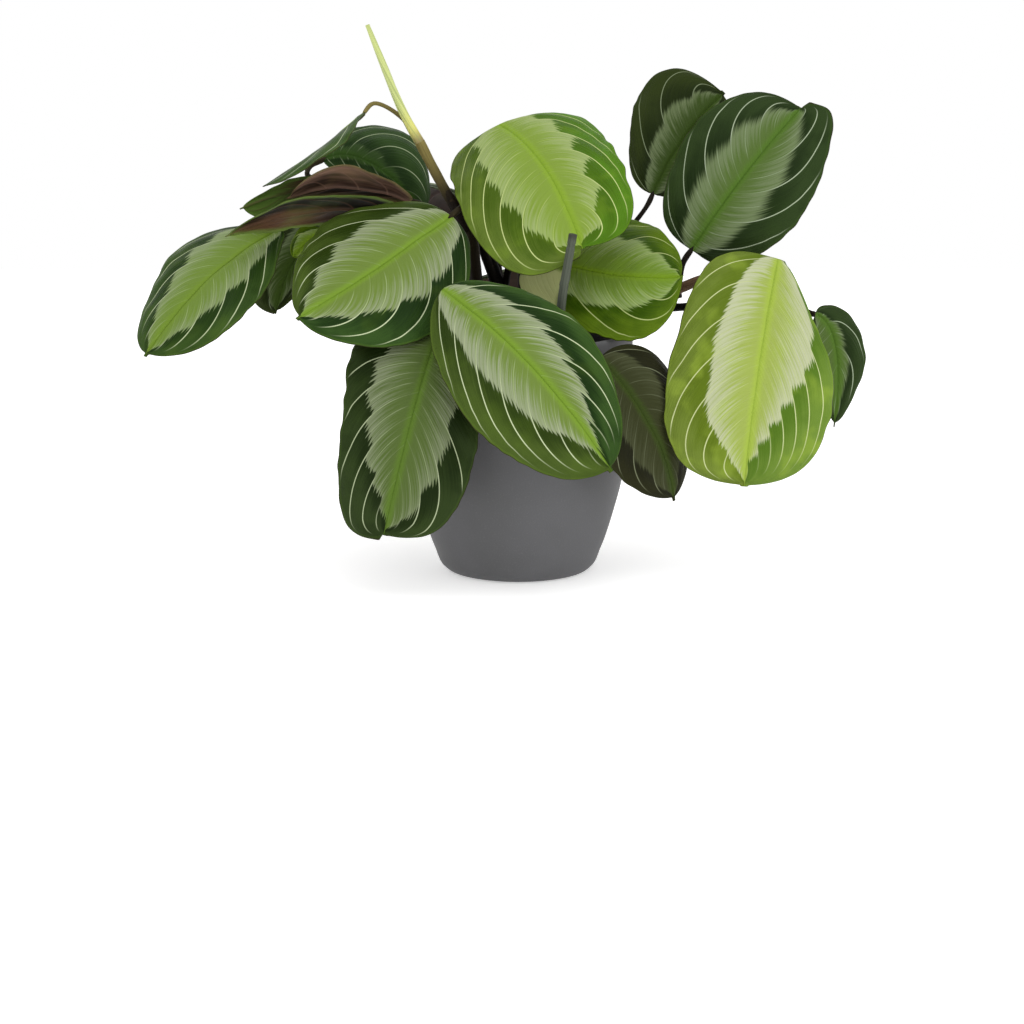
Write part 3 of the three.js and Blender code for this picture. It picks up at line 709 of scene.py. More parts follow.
# %% [markdown]
# ## The painted leaf
#
# Along the midrib runs a broad band, yellow-green in the middle and silver towards its edge, with
# fine streaks that follow the side veins. Its edge is toothed: every small vein carries a tongue
# of silver outwards, and the edge steps a little from one main vein to the next. Beyond it the
# blade is dark green and pales again near the margin, and the main veins cross it as thin ivory
# lines. Some blades have other greens on their right half, where the light falls through. The
# recipe works in the attributes that each blade carries, so it bends with the blade. A young
# blade has paler and yellower greens, a matter of its palette.

# %% The colours of the blades
LEAF_LIGHT = 0.74
SMALL_VEINS = 6


def tone(red, green, blue):
    """A colour as it is seen on the plant, less the surplus of light that falls on the leaves."""
    return tuple(LEAF_LIGHT * part for part in seen(red, green, blue)[:3]) + (1.0,)


# heart: along the midrib. centre and silver: the band. dark and outer: beyond it. line: the veins.
# feather: softness of the band's edge. teeth: their length. mottle: strength of the clouding.
# dark_right and outer_right: the greens of the right half, painted for the light that falls through it.
LOOKS = {
    "deep": dict(heart=tone(130, 166, 48), centre=tone(116, 140, 62), silver=tone(158, 168, 134),
                 dark=tone(28, 52, 14), outer=tone(56, 84, 34), line=tone(226, 238, 192),
                 dark_right=tone(46, 64, 16), outer_right=tone(76, 96, 36),
                 feather=1.8, teeth=1.2, mottle=0.2),
    # shade: darker greens, painted shade for blades that stand upright or at the back, out of the light.
    "shade": dict(heart=tone(100, 132, 44), centre=tone(90, 110, 54), silver=tone(132, 142, 110),
                  dark=tone(28, 42, 12), outer=tone(50, 66, 30), line=tone(196, 208, 166),
                  feather=1.5, teeth=1.2, mottle=0.1),
    "meadow": dict(heart=tone(122, 152, 48), centre=tone(116, 143, 58), silver=tone(142, 158, 112),
                   dark=tone(34, 58, 12), outer=tone(60, 86, 34), line=tone(212, 224, 178),
                   feather=2, teeth=1.2, mottle=0.3),
    "forest": dict(heart=tone(84, 120, 36), centre=tone(88, 112, 52), silver=tone(116, 132, 92),
                   dark=tone(30, 46, 16), outer=tone(48, 66, 30), line=tone(186, 200, 168),
                   feather=7, teeth=0.6, mottle=0.1),
    "moss": dict(heart=tone(54, 84, 24), centre=tone(48, 72, 28), silver=tone(58, 78, 40),
                 dark=tone(26, 48, 12), outer=tone(48, 72, 30), line=tone(176, 190, 150),
                 feather=5, teeth=0.6, mottle=0.2),
    "dusk": dict(heart=tone(60, 84, 24), centre=tone(64, 84, 34), silver=tone(110, 124, 86),
                 dark=tone(30, 42, 10), outer=tone(48, 60, 20), line=tone(140, 152, 118),
                 feather=5, teeth=0.7, mottle=0.1),
    "umber": dict(heart=tone(62, 82, 26), centre=tone(58, 62, 34), silver=tone(72, 76, 50),
                  dark=tone(32, 33, 16), outer=tone(44, 45, 22), line=tone(128, 134, 104),
                  feather=4, teeth=0.8, mottle=0),
    "olive": dict(heart=tone(134, 170, 34), centre=tone(124, 156, 56), silver=tone(162, 184, 116),
                  dark=tone(58, 88, 6), outer=tone(98, 126, 24), line=tone(210, 224, 146),
                  feather=3, teeth=1, mottle=0.8),
    "lime": dict(heart=tone(146, 180, 50), centre=tone(136, 163, 64), silver=tone(164, 182, 116),
                 dark=tone(72, 108, 14), outer=tone(88, 134, 26), line=tone(226, 238, 160),
                 dark_right=tone(70, 96, 16), outer_right=tone(102, 124, 46),
                 feather=1.5, teeth=1.1, mottle=0.6),
    "lemon": dict(heart=tone(172, 198, 72), centre=tone(164, 182, 88), silver=tone(196, 202, 164),
                  dark=tone(86, 120, 32), outer=tone(114, 144, 54), line=tone(224, 232, 170),
                  dark_right=tone(98, 120, 28), outer_right=tone(116, 136, 52),
                  feather=1.8, teeth=1, mottle=1),
}
MARGIN_LINE = tone(58, 52, 28)
CREAM = tone(232, 240, 164)
print("looks:", ", ".join(LOOKS))


# %% What the paint of a blade reads
class BladePaint(Finish):
    """A finish that knows where it is on a blade, with noises that run along the blade's veins."""

    def __init__(self, name, seed, **settings):
        super().__init__(name, **settings)
        self.seed = seed
        self.vein, self.spacing, self.v = self.parts(self.attribute("pattern"))
        self.from_rib, self.from_edge, self.s = self.parts(self.attribute("place"))

    def grain(self, across, along, shift=0, scale=1.0, detail=2.0, roughness=0.5):
        """Noise with so many cells from one vein to the next, and so many out to the margin."""
        cells = self.vector(self.times(self.vein, across), self.times(self.v, along), self.seed + shift)
        return self.noise(cells, scale, detail, roughness)

    def from_half(self, value):
        """How far value is from 0.5, either way."""
        return self.math("ABSOLUTE", self.less(value, 0.5))

    def from_vein(self):
        """The distance to the nearest main vein, in mm."""
        turned = self.math("FRACT", self.math("ADD", self.vein, 0.5))
        return self.times(self.from_half(turned), self.spacing)


# %% The upper side of a blade
class UpperPaint(BladePaint):
    """The painted side: measure the band, then lay band, field, veins and margin over each other."""

    def __init__(self, name, look, seed):
        super().__init__(name, seed, roughness=0.45, specular=0.05)
        self.colours = LOOKS[look]
        self.q = self.math("ABSOLUTE", self.v)
        self.part = self.math("FRACT", self.vein)
        self.drift = self.less(self.grain(1.0, 1.6, scale=1.4), 0.5)
        self.clump = self.less(self.grain(7.0, 1.2, shift=3), 0.5)
        self.streak = self.less(self.grain(19.0, 2.4, detail=3, roughness=0.6), 0.5)
        self.small = self.math("FRACT", self.math("ADD", self.times(self.vein, SMALL_VEINS), self.drift))
        self.middle = self.from_half(self.small)
        self.cloud = self.noise(self.place(), 58, 2)

    def measure_band(self):
        """edge is the band's edge in half widths, depth is q / edge, and outside is 1 beyond it."""
        usual, step, self.silver_from = self.parts(self.attribute("band"))
        feather, teeth = self.colours["feather"], self.colours["teeth"]
        tooth = self.math("MAXIMUM", self.more(0.045, self.clump, 0.14), 0.015)
        edge = self.more(usual, self.less(self.part, 0.5), step)
        edge = self.more(edge, self.less(self.small, 0.5), self.times(tooth, teeth))
        edge = self.more(edge, self.clump, 0.06 * teeth)
        edge = self.more(edge, self.drift, 0.1)
        edge = self.more(edge, self.streak, 0.02 + 0.03 * feather)
        self.beyond = self.less(self.q, edge)
        self.outside = self.ease(self.beyond, -0.006 * feather, 0.014 * feather)
        self.depth = self.math("DIVIDE", self.q, self.math("MAXIMUM", edge, 0.05))

    def band(self):
        """Centre to silver outwards, with grooves and threads along the small veins."""
        heart, centre, silver = (self.colours[key] for key in ("heart", "centre", "silver"))
        start = self.more(self.silver_from, self.s, 0.35)
        silvery = self.more(self.less(self.depth, start), self.streak, 1.9)
        groove = self.times(self.ease(self.middle, 0.28, 0.5), self.ease(self.depth, 1.0, 0.5, 0.26, 0.46))
        thread = self.times(
            self.ease(self.middle, 0.02, 0.3, 1.0, 0.0), self.ease(self.depth, 0.2, 0.8, 0.0, 0.4)
        )
        return self.layers(
            self.blend(self.ease(silvery, 0.0, 0.7), centre, silver),
            (groove, centre),
            (thread, silver),
            (self.ease(self.more(self.from_rib, self.streak, 3.0), 0.5, 4.5, 0.7, 0.0), heart),
            (self.ease(self.cloud, 0.5, 0.75, 0.0, 0.25 * self.colours["mottle"]), heart),
        )

    def field(self):
        """Dark beyond the band, lighter further out; right-half greens painted for light falling through."""
        # painted light: the right half takes other greens for the light that falls through it
        right = self.ease(self.v, -0.01, 0.01)
        dark, light = (
            self.blend(right, self.colours[key], self.colours.get(key + "_right", self.colours[key]))
            for key in ("dark", "outer")
        )
        outer = self.more(self.more(self.beyond, self.drift, 0.6), self.streak, 0.2)
        return self.layers(
            self.blend(self.ease(outer, 0.05, 0.4), dark, light),
            (self.times(self.ease(self.streak, 0.0, 0.3), 0.35), light),
            (self.ease(self.cloud, 0.5, 0.72, 0.0, 0.32 * self.colours["mottle"]), self.colours["heart"]),
            (self.ease(self.cloud, 0.46, 0.3, 0.0, 0.4), dark),
        )

    def main_veins(self):
        """Ivory lines beyond the band, weak inside it, that fade at the midrib and the margin."""
        line = self.times(
            self.ease(self.from_vein(), 0.12, 0.42, 1.0, 0.0),
            self.ease(self.q, 0.08, 0.5, 0.15, 1.0),
            self.ease(self.outside, 0.0, 1.0, 0.45, 1.0),
            self.ease(self.from_edge, 0.8, 4.5),
            self.ease(self.spacing, 3.2, 8.0),
            self.ease(self.vein, -0.7, -0.2),
        )
        return self.times(line, 0.9)

    def middle_veins(self):
        """Fainter lines halfway between the main veins, inside the band only."""
        between = self.times(self.from_half(self.part), self.spacing)
        return self.times(
            self.ease(between, 0.05, 0.4, 0.3, 0.0),
            self.ease(self.outside, 0.2, 0.8, 1.0, 0.0),
            self.ease(self.q, 0.06, 0.2),
        )


def blade_upper(name, look, seed):
    """Band and field, then veins, midrib, pale lobe, a light halo inside the margin and its rim."""
    finish = UpperPaint(name, look, seed)
    finish.measure_band()
    heart, line, dark = (finish.colours[key] for key in ("heart", "line", "dark"))
    rib_width = finish.more(1.0, finish.s, -0.6)
    pale = finish.parts(finish.attribute("patch"))[0]
    halo = finish.math("ABSOLUTE", finish.less(finish.from_edge, 1.0))
    finish.paint(finish.layers(
        finish.blend(finish.outside, finish.band(), finish.field()),
        (finish.middle_veins(), line),
        (finish.main_veins(), line),
        (finish.ease(finish.math("DIVIDE", finish.from_rib, rib_width), 0.35, 0.9, 0.55, 0.0),
         finish.blend(0.35, heart, dark)),
        (finish.times(pale, 0.9), CREAM),
        (finish.ease(halo, 0.2, 0.8, 0.1, 0.0), heart),
        (finish.ease(finish.from_edge, 0.15, 0.6, 0.8, 0.0), MARGIN_LINE),
    ))
    sheen = finish.noise(finish.place(), 60, 3)
    finish.plug(finish.shader.inputs["Roughness"], finish.ease(sheen, 0.3, 0.7, 0.36, 0.5))
    ribs = finish.times(finish.ease(finish.middle, 0.25, 0.5), -0.4)
    finish.bump(finish.math("ADD", finish.streak, ribs), 0.3 * MM, 0.8)
    return finish.material


# %% [markdown]
# ## The lower side
#
# Underneath, the blade is a dull wine-brown that pales to green along the margin, with the veins
# showing as slightly lighter, raised lines. Three blades at the left turn this side to the viewer.
# They are folded or curled lengthwise, so their brown darkens across the blade, along creases that
# run lengthwise and towards the base, partly a darker wine and partly painted shade. One is green at its tip.

# %% The lower side of a blade
# flush: the lighter brown. shade: a darker brown, partly the wine of the lower side and partly painted
# shade, near black on the folded blade. margin: the green of the edge. turn: the values of v between
# which flush becomes shade. green: the values of s between which the tip becomes green. foot: how
# much painted shade darkens the base.
UNDER_USUAL = dict(flush=seen(66, 44, 36), shade=seen(40, 26, 20), margin=seen(84, 98, 46),
                   turn=(-1.0, 1.0), green=(1.2, 1.4), foot=0)
UNDERSIDES = {
    # The folded blade's near-black shade and its dark base are painted shade from the blades around it.
    "leaf_left_fold": dict(flush=seen(84, 58, 40), shade=seen(12, 10, 2), margin=seen(96, 118, 52),
                           turn=(0.35, -0.45), green=(0.86, 1.02), foot=0.8),
    "leaf_left_under": dict(flush=seen(74, 50, 38), shade=seen(28, 22, 12), margin=seen(84, 110, 44),
                            turn=(-0.8, 0.6), green=(0.46, 0.78), foot=0),
    "leaf_left_curl": dict(flush=seen(136, 104, 88), shade=seen(40, 26, 18), margin=seen(112, 100, 64),
                           turn=(-1.0, 0.2), green=(0.95, 1.1), foot=0.4),
}


def blade_lower(name, seed, flush, shade, margin, turn, green, foot):
    """Flush to shade across and painted shade over the base, green clouds, a green tip, veins and margin."""
    finish = BladePaint(name, seed, roughness=0.55, specular=0.15)
    streak = finish.grain(6.0, 2.0, detail=3, roughness=0.55)
    lengthwise = finish.vector(finish.times(finish.v, 5.0), finish.times(finish.s, 2.2), seed)
    crease = finish.noise(lengthwise, 1.0, 3)
    cloud = finish.noise(finish.place(), 45, 2)
    tip = finish.more(finish.less(finish.s, 0.15), streak, 0.3)
    across = finish.more(finish.less(finish.v, 1.0), crease, 2.0)
    finish.paint(finish.layers(
        finish.blend(finish.ease(across, *turn), flush, shade),
        # painted shade: the shade colour laid over the base, as far as foot says
        (finish.ease(finish.s, 0.6, 0.3, 0.0, foot), shade),
        (finish.ease(cloud, 0.45, 0.8, 0.0, 0.25), margin),
        (finish.ease(tip, *green), margin),
        (finish.ease(finish.from_vein(), 0.15, 0.7, 0.35, 0.0), flush),
        (finish.ease(finish.more(finish.from_edge, streak, -2.5), -0.5, 2.4, 0.9, 0.0), margin),
        (finish.ease(finish.from_rib, 0.5, 1.4, 0.4, 0.0), flush),
    ))
    finish.bump(streak, 0.2 * MM, 0.7)
    return finish.material


# %% Every blade
FIRST_SEED = 11

for seed, leaf in enumerate(LEAVES, FIRST_SEED):
    short = leaf["name"].replace("leaf_", "")
    upper = blade_upper("blade_upper_" + short, leaf["look"], float(seed))
    under = UNDERSIDES.get(leaf["name"], UNDER_USUAL)
    lower = blade_lower("blade_lower_" + short, float(seed), **under)
    blade = add_blade(leaf, upper, lower, seed)
print("blades made:", len(LEAVES), "with", ROWS * (2 * COLUMNS - 1), "points a side")

# %% [markdown]
# ## Petioles
#
# Each shoot is a bundle of petioles on one foot. A petiole is a slim round stalk that clasps the
# shoot with a widened foot and ends in a short swollen knee, the joint with which this plant lifts
# its leaves at night. Wine-brown below, it turns greener towards the blade; one is pinkish and two
# are olive. Their browns are very dark, partly the wine and partly painted shade among the stems,
# near black on two shoots. The routes are those of the solids, in millimetres, and the last points
# before a blade follow from the blade itself. The sheath of the rolled leaf laps a little over that leaf's
# foot.

# %% The petioles' routes
KNEE = 8

# stem, blade, radius at both ends, whether it meets the blade from below, route
PETIOLES = [
    ("stem_left", "", [4.2, 3.2], 0,
     [[-20, 4, 110], [-21, 3, 140], [-24, 1, 170], [-27, 2, 196], [-32, 4, 208]]),
    ("stem_left", "", [4.6, 1], 0, [[-27, 2, 194], [-38, 5, 212], [-49, 7, 227]]),
    ("stem_left", "leaf_left_mid", [2.4, 1.5], 0, [[-26, 2, 186], [-28.5, -1.5, 203]]),
    ("stem_left", "leaf_left_curl", [2.4, 1.5], 0, [[-24, 2, 168], [-36, 11, 196]]),
    ("stem_left", "leaf_left_fold", [2.4, 1.5], 0, [[-22, 3, 158], [-34, 12, 188]]),
    ("stem_left", "leaf_left_high", [2.4, 1.5], 0,
     [[-22, 4, 150], [-42, 30, 196], [-80, 58, 212], [-108, 56, 216], [-121, 47, 220]]),
    ("stem_left", "leaf_left_arch", [2.2, 1], 0,
     [[-26.5, 2, 190], [-42.6, 7, 219], [-54.5, 9, 240.5], [-65.5, 10, 256.5]]),
    ("stem_left", "leaf_left_under", [2.4, 1.5], 0, [[-22, 4, 150], [-42, 17, 190], [-68, 20, 204]]),
    ("stem_left", "leaf_far_left", [2.4, 1.5], 0, [[-22, 4, 145], [-56, 19, 188], [-98, 15, 200]]),
    ("stem_left", "leaf_left_back", [2.4, 1.5], 0, [[-21, 4, 140], [-52, 25, 178]]),
    ("stem_left", "leaf_left_small", [2.2, 1.3], 0, [[-22, 4, 150], [-54, 18, 196], [-86, 13, 204]]),
    ("stem_left", "spear_leaf", [2.8, 2.9], 0,
     [[-26.5, 2, 188], [-38.4, 6, 211], [-47, 6, 227], [-55.2, 4.8, 243.2]]),
    ("stem_front", "", [4, 2.4], 0, [[-8, -16, 110], [-10, -18, 134], [-17, -27, 146]]),
    ("stem_front", "leaf_front", [2.4, 1.6], 1,
     [[-10, -18, 133], [-18, -31, 151], [-28, -50, 162], [-36, -58, 163]]),
    ("stem_front", "leaf_left_low", [2.4, 1.5], 0, [[-10, -18, 132], [-22, -32, 146], [-34, -47, 153]]),
    ("stem_front", "leaf_right_dark", [2.2, 1.5], 0,
     [[-9, -17, 131], [2, -36, 143], [10, -54, 149], [20, -65, 147], [31, -64, 142]]),
    ("stem_centre", "", [4.2, 3], 0, [[-2, 10, 110], [-4, 10, 140], [-8, 11, 160]]),
    ("stem_centre", "leaf_crown", [2.8, 1.7], 1,
     [[-3, 10, 132], [-12, 14, 168], [-25, 24, 200], [-29, 36, 220], [-20, 46, 236]]),
    ("stem_centre", "", [3.6, 2.6], 0,
     [[-2, 10, 110], [-6, 11, 140], [-13, 12.5, 163], [-19, 15, 180], [-22, 19, 194]]),
    ("stem_centre", "leaf_centre_right", [2.6, 1.6], 0, [[-3, 10, 134], [-7, 13, 162]]),
    ("stem_right", "", [4, 2.8], 0,
     [[22, 12, 110], [23, 12, 131], [38, 14, 144], [60, 13, 149], [78, 9, 153], [92, 5, 158]]),
    ("stem_right", "leaf_right_back", [2.1, 1.2], 0, [[25, 12, 134], [46, 24, 160], [60.5, 30, 186]]),
    ("stem_right", "leaf_right_high", [2.2, 1.3], 0, [[76, 9, 153], [90, 6, 163]]),
    ("stem_right", "leaf_right_low", [3.3, 1.8], 1,
     [[80, 9, 154], [93, 3, 161.5], [107, -1, 167.5], [122, 0.5, 170], [137, -1, 174.5]]),
    ("stem_right", "leaf_far_right", [2.6, 1.5], 1,
     [[64, 12, 149], [92, 11, 149], [130, 16, 152], [158, 21, 148]]),
    ("stem_back", "", [4, 2.6], 0, [[2, 32, 110], [2, 33, 133], [0, 36, 146]]),
    ("stem_back", "leaf_back_low", [2.4, 1.5], 0, [[2, 33, 132], [2, 46, 156]]),
    ("stem_back", "leaf_back_left", [2.4, 1.5], 0, [[2, 33, 131], [-14, 38, 150]]),
    ("stem_back", "leaf_back_mid", [2.4, 1.5], 0, [[1, 34, 135], [-9, 38, 158], [-13, 47, 180]]),
    ("stem_back", "leaf_back_right", [2.4, 1.5], 0, [[2, 33, 132], [22, 44, 156]]),
]


def petiole_path(blade_name, under, path):
    """The route, and then a straight end that runs just into the blade's midrib: along it, or from
    under it where the petiole passes below the blade."""
    leaf = next((item for item in LEAVES if item["name"] == blade_name), None)
    if leaf is None:
        return path
    point, along, _, up = (a[0] for a in midrib(leaf, np.zeros(1)))
    if under:
        end = point + along * 1.5 - up * 0.75
        return [*path, end - up * 5, end + up * 0.4]
    return [*path, point - along * KNEE, point + along * 2.5 - up * 0.5]


# %% Petioles as skins
STALK_SIDES = 18
FOOT_SWELL = 0.22
KNEE_SWELL = 0.2


def stalk_finish(name, foot, head):
    """Two colours along the stalk, with fine lengthwise fibres and small darker flecks."""
    finish = Finish(name, roughness=0.6, specular=0.1)
    along, round_x, round_y = finish.parts(finish.attribute("stalk"))
    fibre = finish.noise(finish.vector(round_x, round_y, finish.times(along, 0.6)), 4.0, 3)
    fleck = finish.noise(finish.place(), 260, 2)
    finish.paint(finish.layers(
        finish.blend(finish.ease(finish.more(along, fibre, 0.25), 0.45, 1.15), foot, head),
        (finish.ease(fibre, 0.4, 0.7, 0.0, 0.4), seen(16, 12, 9)),
        (finish.ease(fleck, 0.62, 0.75, 0.0, 0.2), seen(96, 78, 52)),
    ))
    finish.bump(fibre, 0.2 * MM, 0.6)
    return finish.material


def petiole_rings(radius, path, ends_in_blade):
    """Radius r = taper * (1 + foot + knee): foot swells the first 8 mm, knee the last 9 mm, both
    as a bell curve, and a blade's end narrows into the midrib."""
    curve, length = smooth_curve(path)
    total = length[-1]
    taper = radius[0] + (radius[1] - radius[0]) * length / total
    foot = FOOT_SWELL * np.exp(-((length / 7) ** 2))
    knee = KNEE_SWELL * np.exp(-(((total - length - 6) / 4.5) ** 2)) if ends_in_blade else 0
    swell = taper * (1 + foot + knee)
    if ends_in_blade:
        swell = swell * (0.45 + 0.55 * np.clip((total - length) / 3.0, 0, 1))
    wobble = 1 + 0.03 * ripples(curve, 6, 9, int(total * 10))
    return rings_along(curve, swell * wobble, STALK_SIDES), length / total


def around(share, sides):
    """For every point of the rings: its share of the length, and the sine and cosine of its angle."""
    angle = np.linspace(0, 2 * np.pi, sides, endpoint=False)
    share = share[:, None] + 0 * angle
    return np.stack([share, np.cos(angle) + 0 * share, np.sin(angle) + 0 * share], -1).reshape(-1, 3)


def add_stem(stem, usual, other=None, others=()):
    """The petioles of one stem; those to the blades named in others have the other finish."""
    points, faces, stalk, chosen = [], [], [], []
    start = 0
    for _, blade_name, radius, under, path in [row for row in PETIOLES if row[0] == stem]:
        ends_in_blade = blade_name.startswith("leaf")
        rings, share = petiole_rings(radius, petiole_path(blade_name, under, path), ends_in_blade)
        added = skin_faces(len(rings), STALK_SIDES, start)
        faces += added
        chosen += [int(blade_name in others)] * len(added)
        points.append(rings.reshape(-1, 3))
        stalk.append(around(share, STALK_SIDES))
        start += len(rings) * STALK_SIDES
    piece = add_piece(stem.replace("stem", "petioles"), np.vstack(points), faces, [usual, other or usual],
                      np.array(chosen, np.int32), stalk=np.vstack(stalk))
    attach(piece, "root")
    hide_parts(stem)


# The stalk browns are partly painted shade: wine darkened for the shade among the stems, and near black on
# the shoots under the crown and the right leaves.
wine = stalk_finish("petiole_wine", seen(24, 16, 9), seen(44, 38, 20))
dark_and_shaded = stalk_finish("petiole_dark_shaded", seen(9, 7, 4), seen(26, 20, 11))
pink = stalk_finish("petiole_pale", seen(104, 82, 62), seen(130, 118, 88))
drab = stalk_finish("petiole_olive", seen(30, 22, 12), seen(128, 116, 66))
add_stem("stem_left", wine, drab, ["leaf_left_arch", "spear_leaf"])
add_stem("stem_front", wine)
add_stem("stem_centre", dark_and_shaded)
add_stem("stem_right", dark_and_shaded, pink, ["leaf_right_low"])
add_stem("stem_back", wine)
print("petioles:", len(PETIOLES))

# %% [markdown]
# ## The rolled leaf and the cut stub
#
# A new leaf comes up rolled like a scroll. Its cross-section is a spiral a little longer than one
# turn, so a soft edge winds up the outside; at its foot, in the sheath, it is still round. The
# stub is what is left of an older shoot that was cut square, dry and grey-green, with the crease
# of a dried sheath across it.

# %% The rolled leaf
SPEAR_PATH = [[-54.6, 4.9, 242], [-63.2, 3.4, 258], [-72.8, 1.5, 280.7], [-83.5, 0, 308]]
SPEAR_SIDES = 48
SPEAR_TIP = 1.3
SPEAR_TAPER = 1.6


def spear_finish():
    """Brown at the foot, then yellow, then green, with fibres and a darker line at the free edge."""
    finish = Finish("spear_green", roughness=0.38, specular=0.5, coat_weight=0.1)
    along, turn, layer = finish.parts(finish.attribute("stalk"))
    fibre = finish.noise(finish.vector(finish.times(turn, 14.0), along, 3.0), 1.0, 3)
    finish.paint(finish.layers(
        finish.blend(finish.ease(along, 0.0, 0.16), seen(120, 100, 56), seen(204, 200, 104)),
        (finish.ease(along, 0.1, 0.4), seen(186, 196, 120)),
        (finish.ease(fibre, 0.45, 0.68, 0.0, 0.7), seen(126, 142, 78)),
        (finish.ease(finish.math("ABSOLUTE", layer), 0.0, 0.12, 0.5, 0.0), seen(92, 108, 56)),
    ))
    finish.bump(fibre, 0.2 * MM, 0.7)
    return finish.material


def add_spear():
    """Rings r * (1 + opened * scroll): the radius shrinks round each ring by scroll, so that its
    last point steps back under its first, and the step drifts round the spear on its way up.
    opened rises from 0 at the foot to 1 at a fifth of the length."""
    curve, length = smooth_curve(SPEAR_PATH, 1.0)
    share = length / length[-1]
    radius = SPEAR_TIP + SPEAR_TAPER * (1 - share**1.5)
    turn = np.linspace(0, 1, SPEAR_SIDES, endpoint=False)[None, :]
    drift = (turn + 0.55 * share[:, None] + 0.2) % 1
    lip = np.clip(drift / 0.03, 0, 1)
    scroll = (1.04 - 0.2 * drift) * (0.86 + 0.14 * lip) - 1
    opened = np.clip(share / 0.2, 0, 1)[:, None]
    rings = rings_along(curve, radius[:, None] * (1 + opened * scroll), SPEAR_SIDES)
    stalk = np.stack([share[:, None] + 0 * turn, drift, lip - 0.5 + 0 * drift], -1)
    piece = add_piece("spear", rings.reshape(-1, 3), skin_faces(len(rings), SPEAR_SIDES),
                      [spear_finish()], stalk=stalk.reshape(-1, 3))
    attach(piece, "root")
    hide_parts("spear_leaf")
    print("rings of the rolled leaf:", len(rings))


add_spear()

# %% The cut stub
STUB_PATH = [[21, -44, 110], [22, -47.5, 135], [23.8, -55, 162], [29.6, -60, 199]]
STUB_SIDES = 32


def stub_finish():
    """Dry grey-green with lengthwise fibres, darker at the cut."""
    finish = Finish("stub_dry", roughness=0.65, specular=0.3)
    along, round_x, round_y = finish.parts(finish.attribute("stalk"))
    lengthwise = finish.vector(finish.times(round_x, 5.0), finish.times(round_y, 5.0), along)
    fibre = finish.noise(lengthwise, 1.0, 3)
    finish.paint(finish.layers(
        finish.blend(finish.ease(fibre, 0.3, 0.7), seen(54, 60, 50), seen(82, 88, 74)),
        (finish.ease(along, 0.955, 0.995, 0.0, 0.7), seen(44, 42, 34)),
    ))
    finish.bump(fibre, 0.25 * MM, 0.8)
    return finish.material


def add_stub():
    """A stalk whose radius falls from 2.6 to 2.3 mm, less a ring crease 6.5 mm under the cut, plus
    an oblique fold 26 mm under it and nine shallow ridges."""
    curve, length = smooth_curve(STUB_PATH, 0.8)
    share = length / length[-1]
    angle = np.linspace(0, 2 * np.pi, STUB_SIDES, endpoint=False)[None, :]
    below_cut = length[-1] - length[:, None]
    radius = (2.6 - 0.3 * share)[:, None] + 0 * angle
    radius = radius - 0.35 * np.exp(-(((below_cut - 6.5) / 0.9) ** 2))
    radius = radius + 0.3 * np.exp(-(((below_cut - 26 - 3 * np.cos(angle)) / 1.3) ** 2))
    radius = radius + 0.08 * np.sin(9 * angle + 4 * share[:, None])
    rings = rings_along(curve, radius, STUB_SIDES)
    piece = add_piece("stub", rings.reshape(-1, 3), skin_faces(len(rings), STUB_SIDES),
                      [stub_finish()], stalk=around(share, STUB_SIDES))
    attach(piece, "root")
    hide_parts("cut_stub")
    print("rings of the stub:", len(rings))


add_stub()

# %% [markdown]
# ## Pot and soil
#
# The pot is a turned shape: one profile, carried round the axis. Up close its matte glaze has a
# very fine grain and a slightly cloudy tone. The soil fills it to a finger's width under the rim;
# crumbs of bark and peat lie on it, one small lump repeated with a random size, turn and place.

# %% The pot
RIM = 65.0
HEIGHT = 138.0
WALL = 4.0
FLOOR_TOP = 5.0
LIP = 1.5
INNER = RIM - WALL
POT_SIDES = 144
# radius and height of points on the outside, going up, and on the inside, going down
POT_SIDE = [[RIM - 24, 0.8], [RIM - 20.6, 4], [RIM - 17.4, 12], [RIM - 14.7, 19], [RIM - 9.3, 37],
            [RIM - 5.2, 54], [RIM - 2, 90], [RIM, HEIGHT - 8], [RIM, HEIGHT - LIP]]
POT_INSIDE = [[INNER, HEIGHT - LIP], [INNER, HEIGHT - 8], [INNER - 2, 90], [INNER - 5.2, 54],
              [INNER - 10.5, 34], [INNER - 16.5, 18], [INNER - 22, 6.5]]


def turned(profile, sides):
    """Rings of radius r at height z for each point (r, z) of the profile."""
    angle = np.linspace(0, 2 * np.pi, sides, endpoint=False)
    r, z = np.asarray(profile, float).T
    return np.stack([r[:, None] * np.cos(angle), r[:, None] * np.sin(angle), z[:, None] + 0 * angle], -1)


def profile_curve(points, step):
    """The smooth curve through profile points (r, z), at even steps."""
    flat = [[r, 0, z] for r, z in points]
    return smooth_curve(flat, step)[0][:, [0, 2]]


# %% The pot's finish and mesh
def pot_finish():
    """Matte grey glaze: a slow cloud of tone, a fine lighter grain, and roughness with the cloud."""
    finish = Finish("pot_matte_grey", roughness=0.62, specular=0.35)
    grain = finish.noise(finish.place(), 1400, 2)
    cloud = finish.noise(finish.place(), 22, 3)
    finish.paint(finish.layers(
        finish.blend(finish.ease(cloud, 0.3, 0.7), seen(79, 79, 80), seen(86, 86, 88)),
        (finish.ease(grain, 0.55, 0.75, 0.0, 0.25), seen(104, 104, 106)),
    ))
    finish.plug(finish.shader.inputs["Roughness"], finish.ease(cloud, 0.3, 0.7, 0.56, 0.68))
    finish.bump(grain, 0.12 * MM, 0.5)
    return finish.material


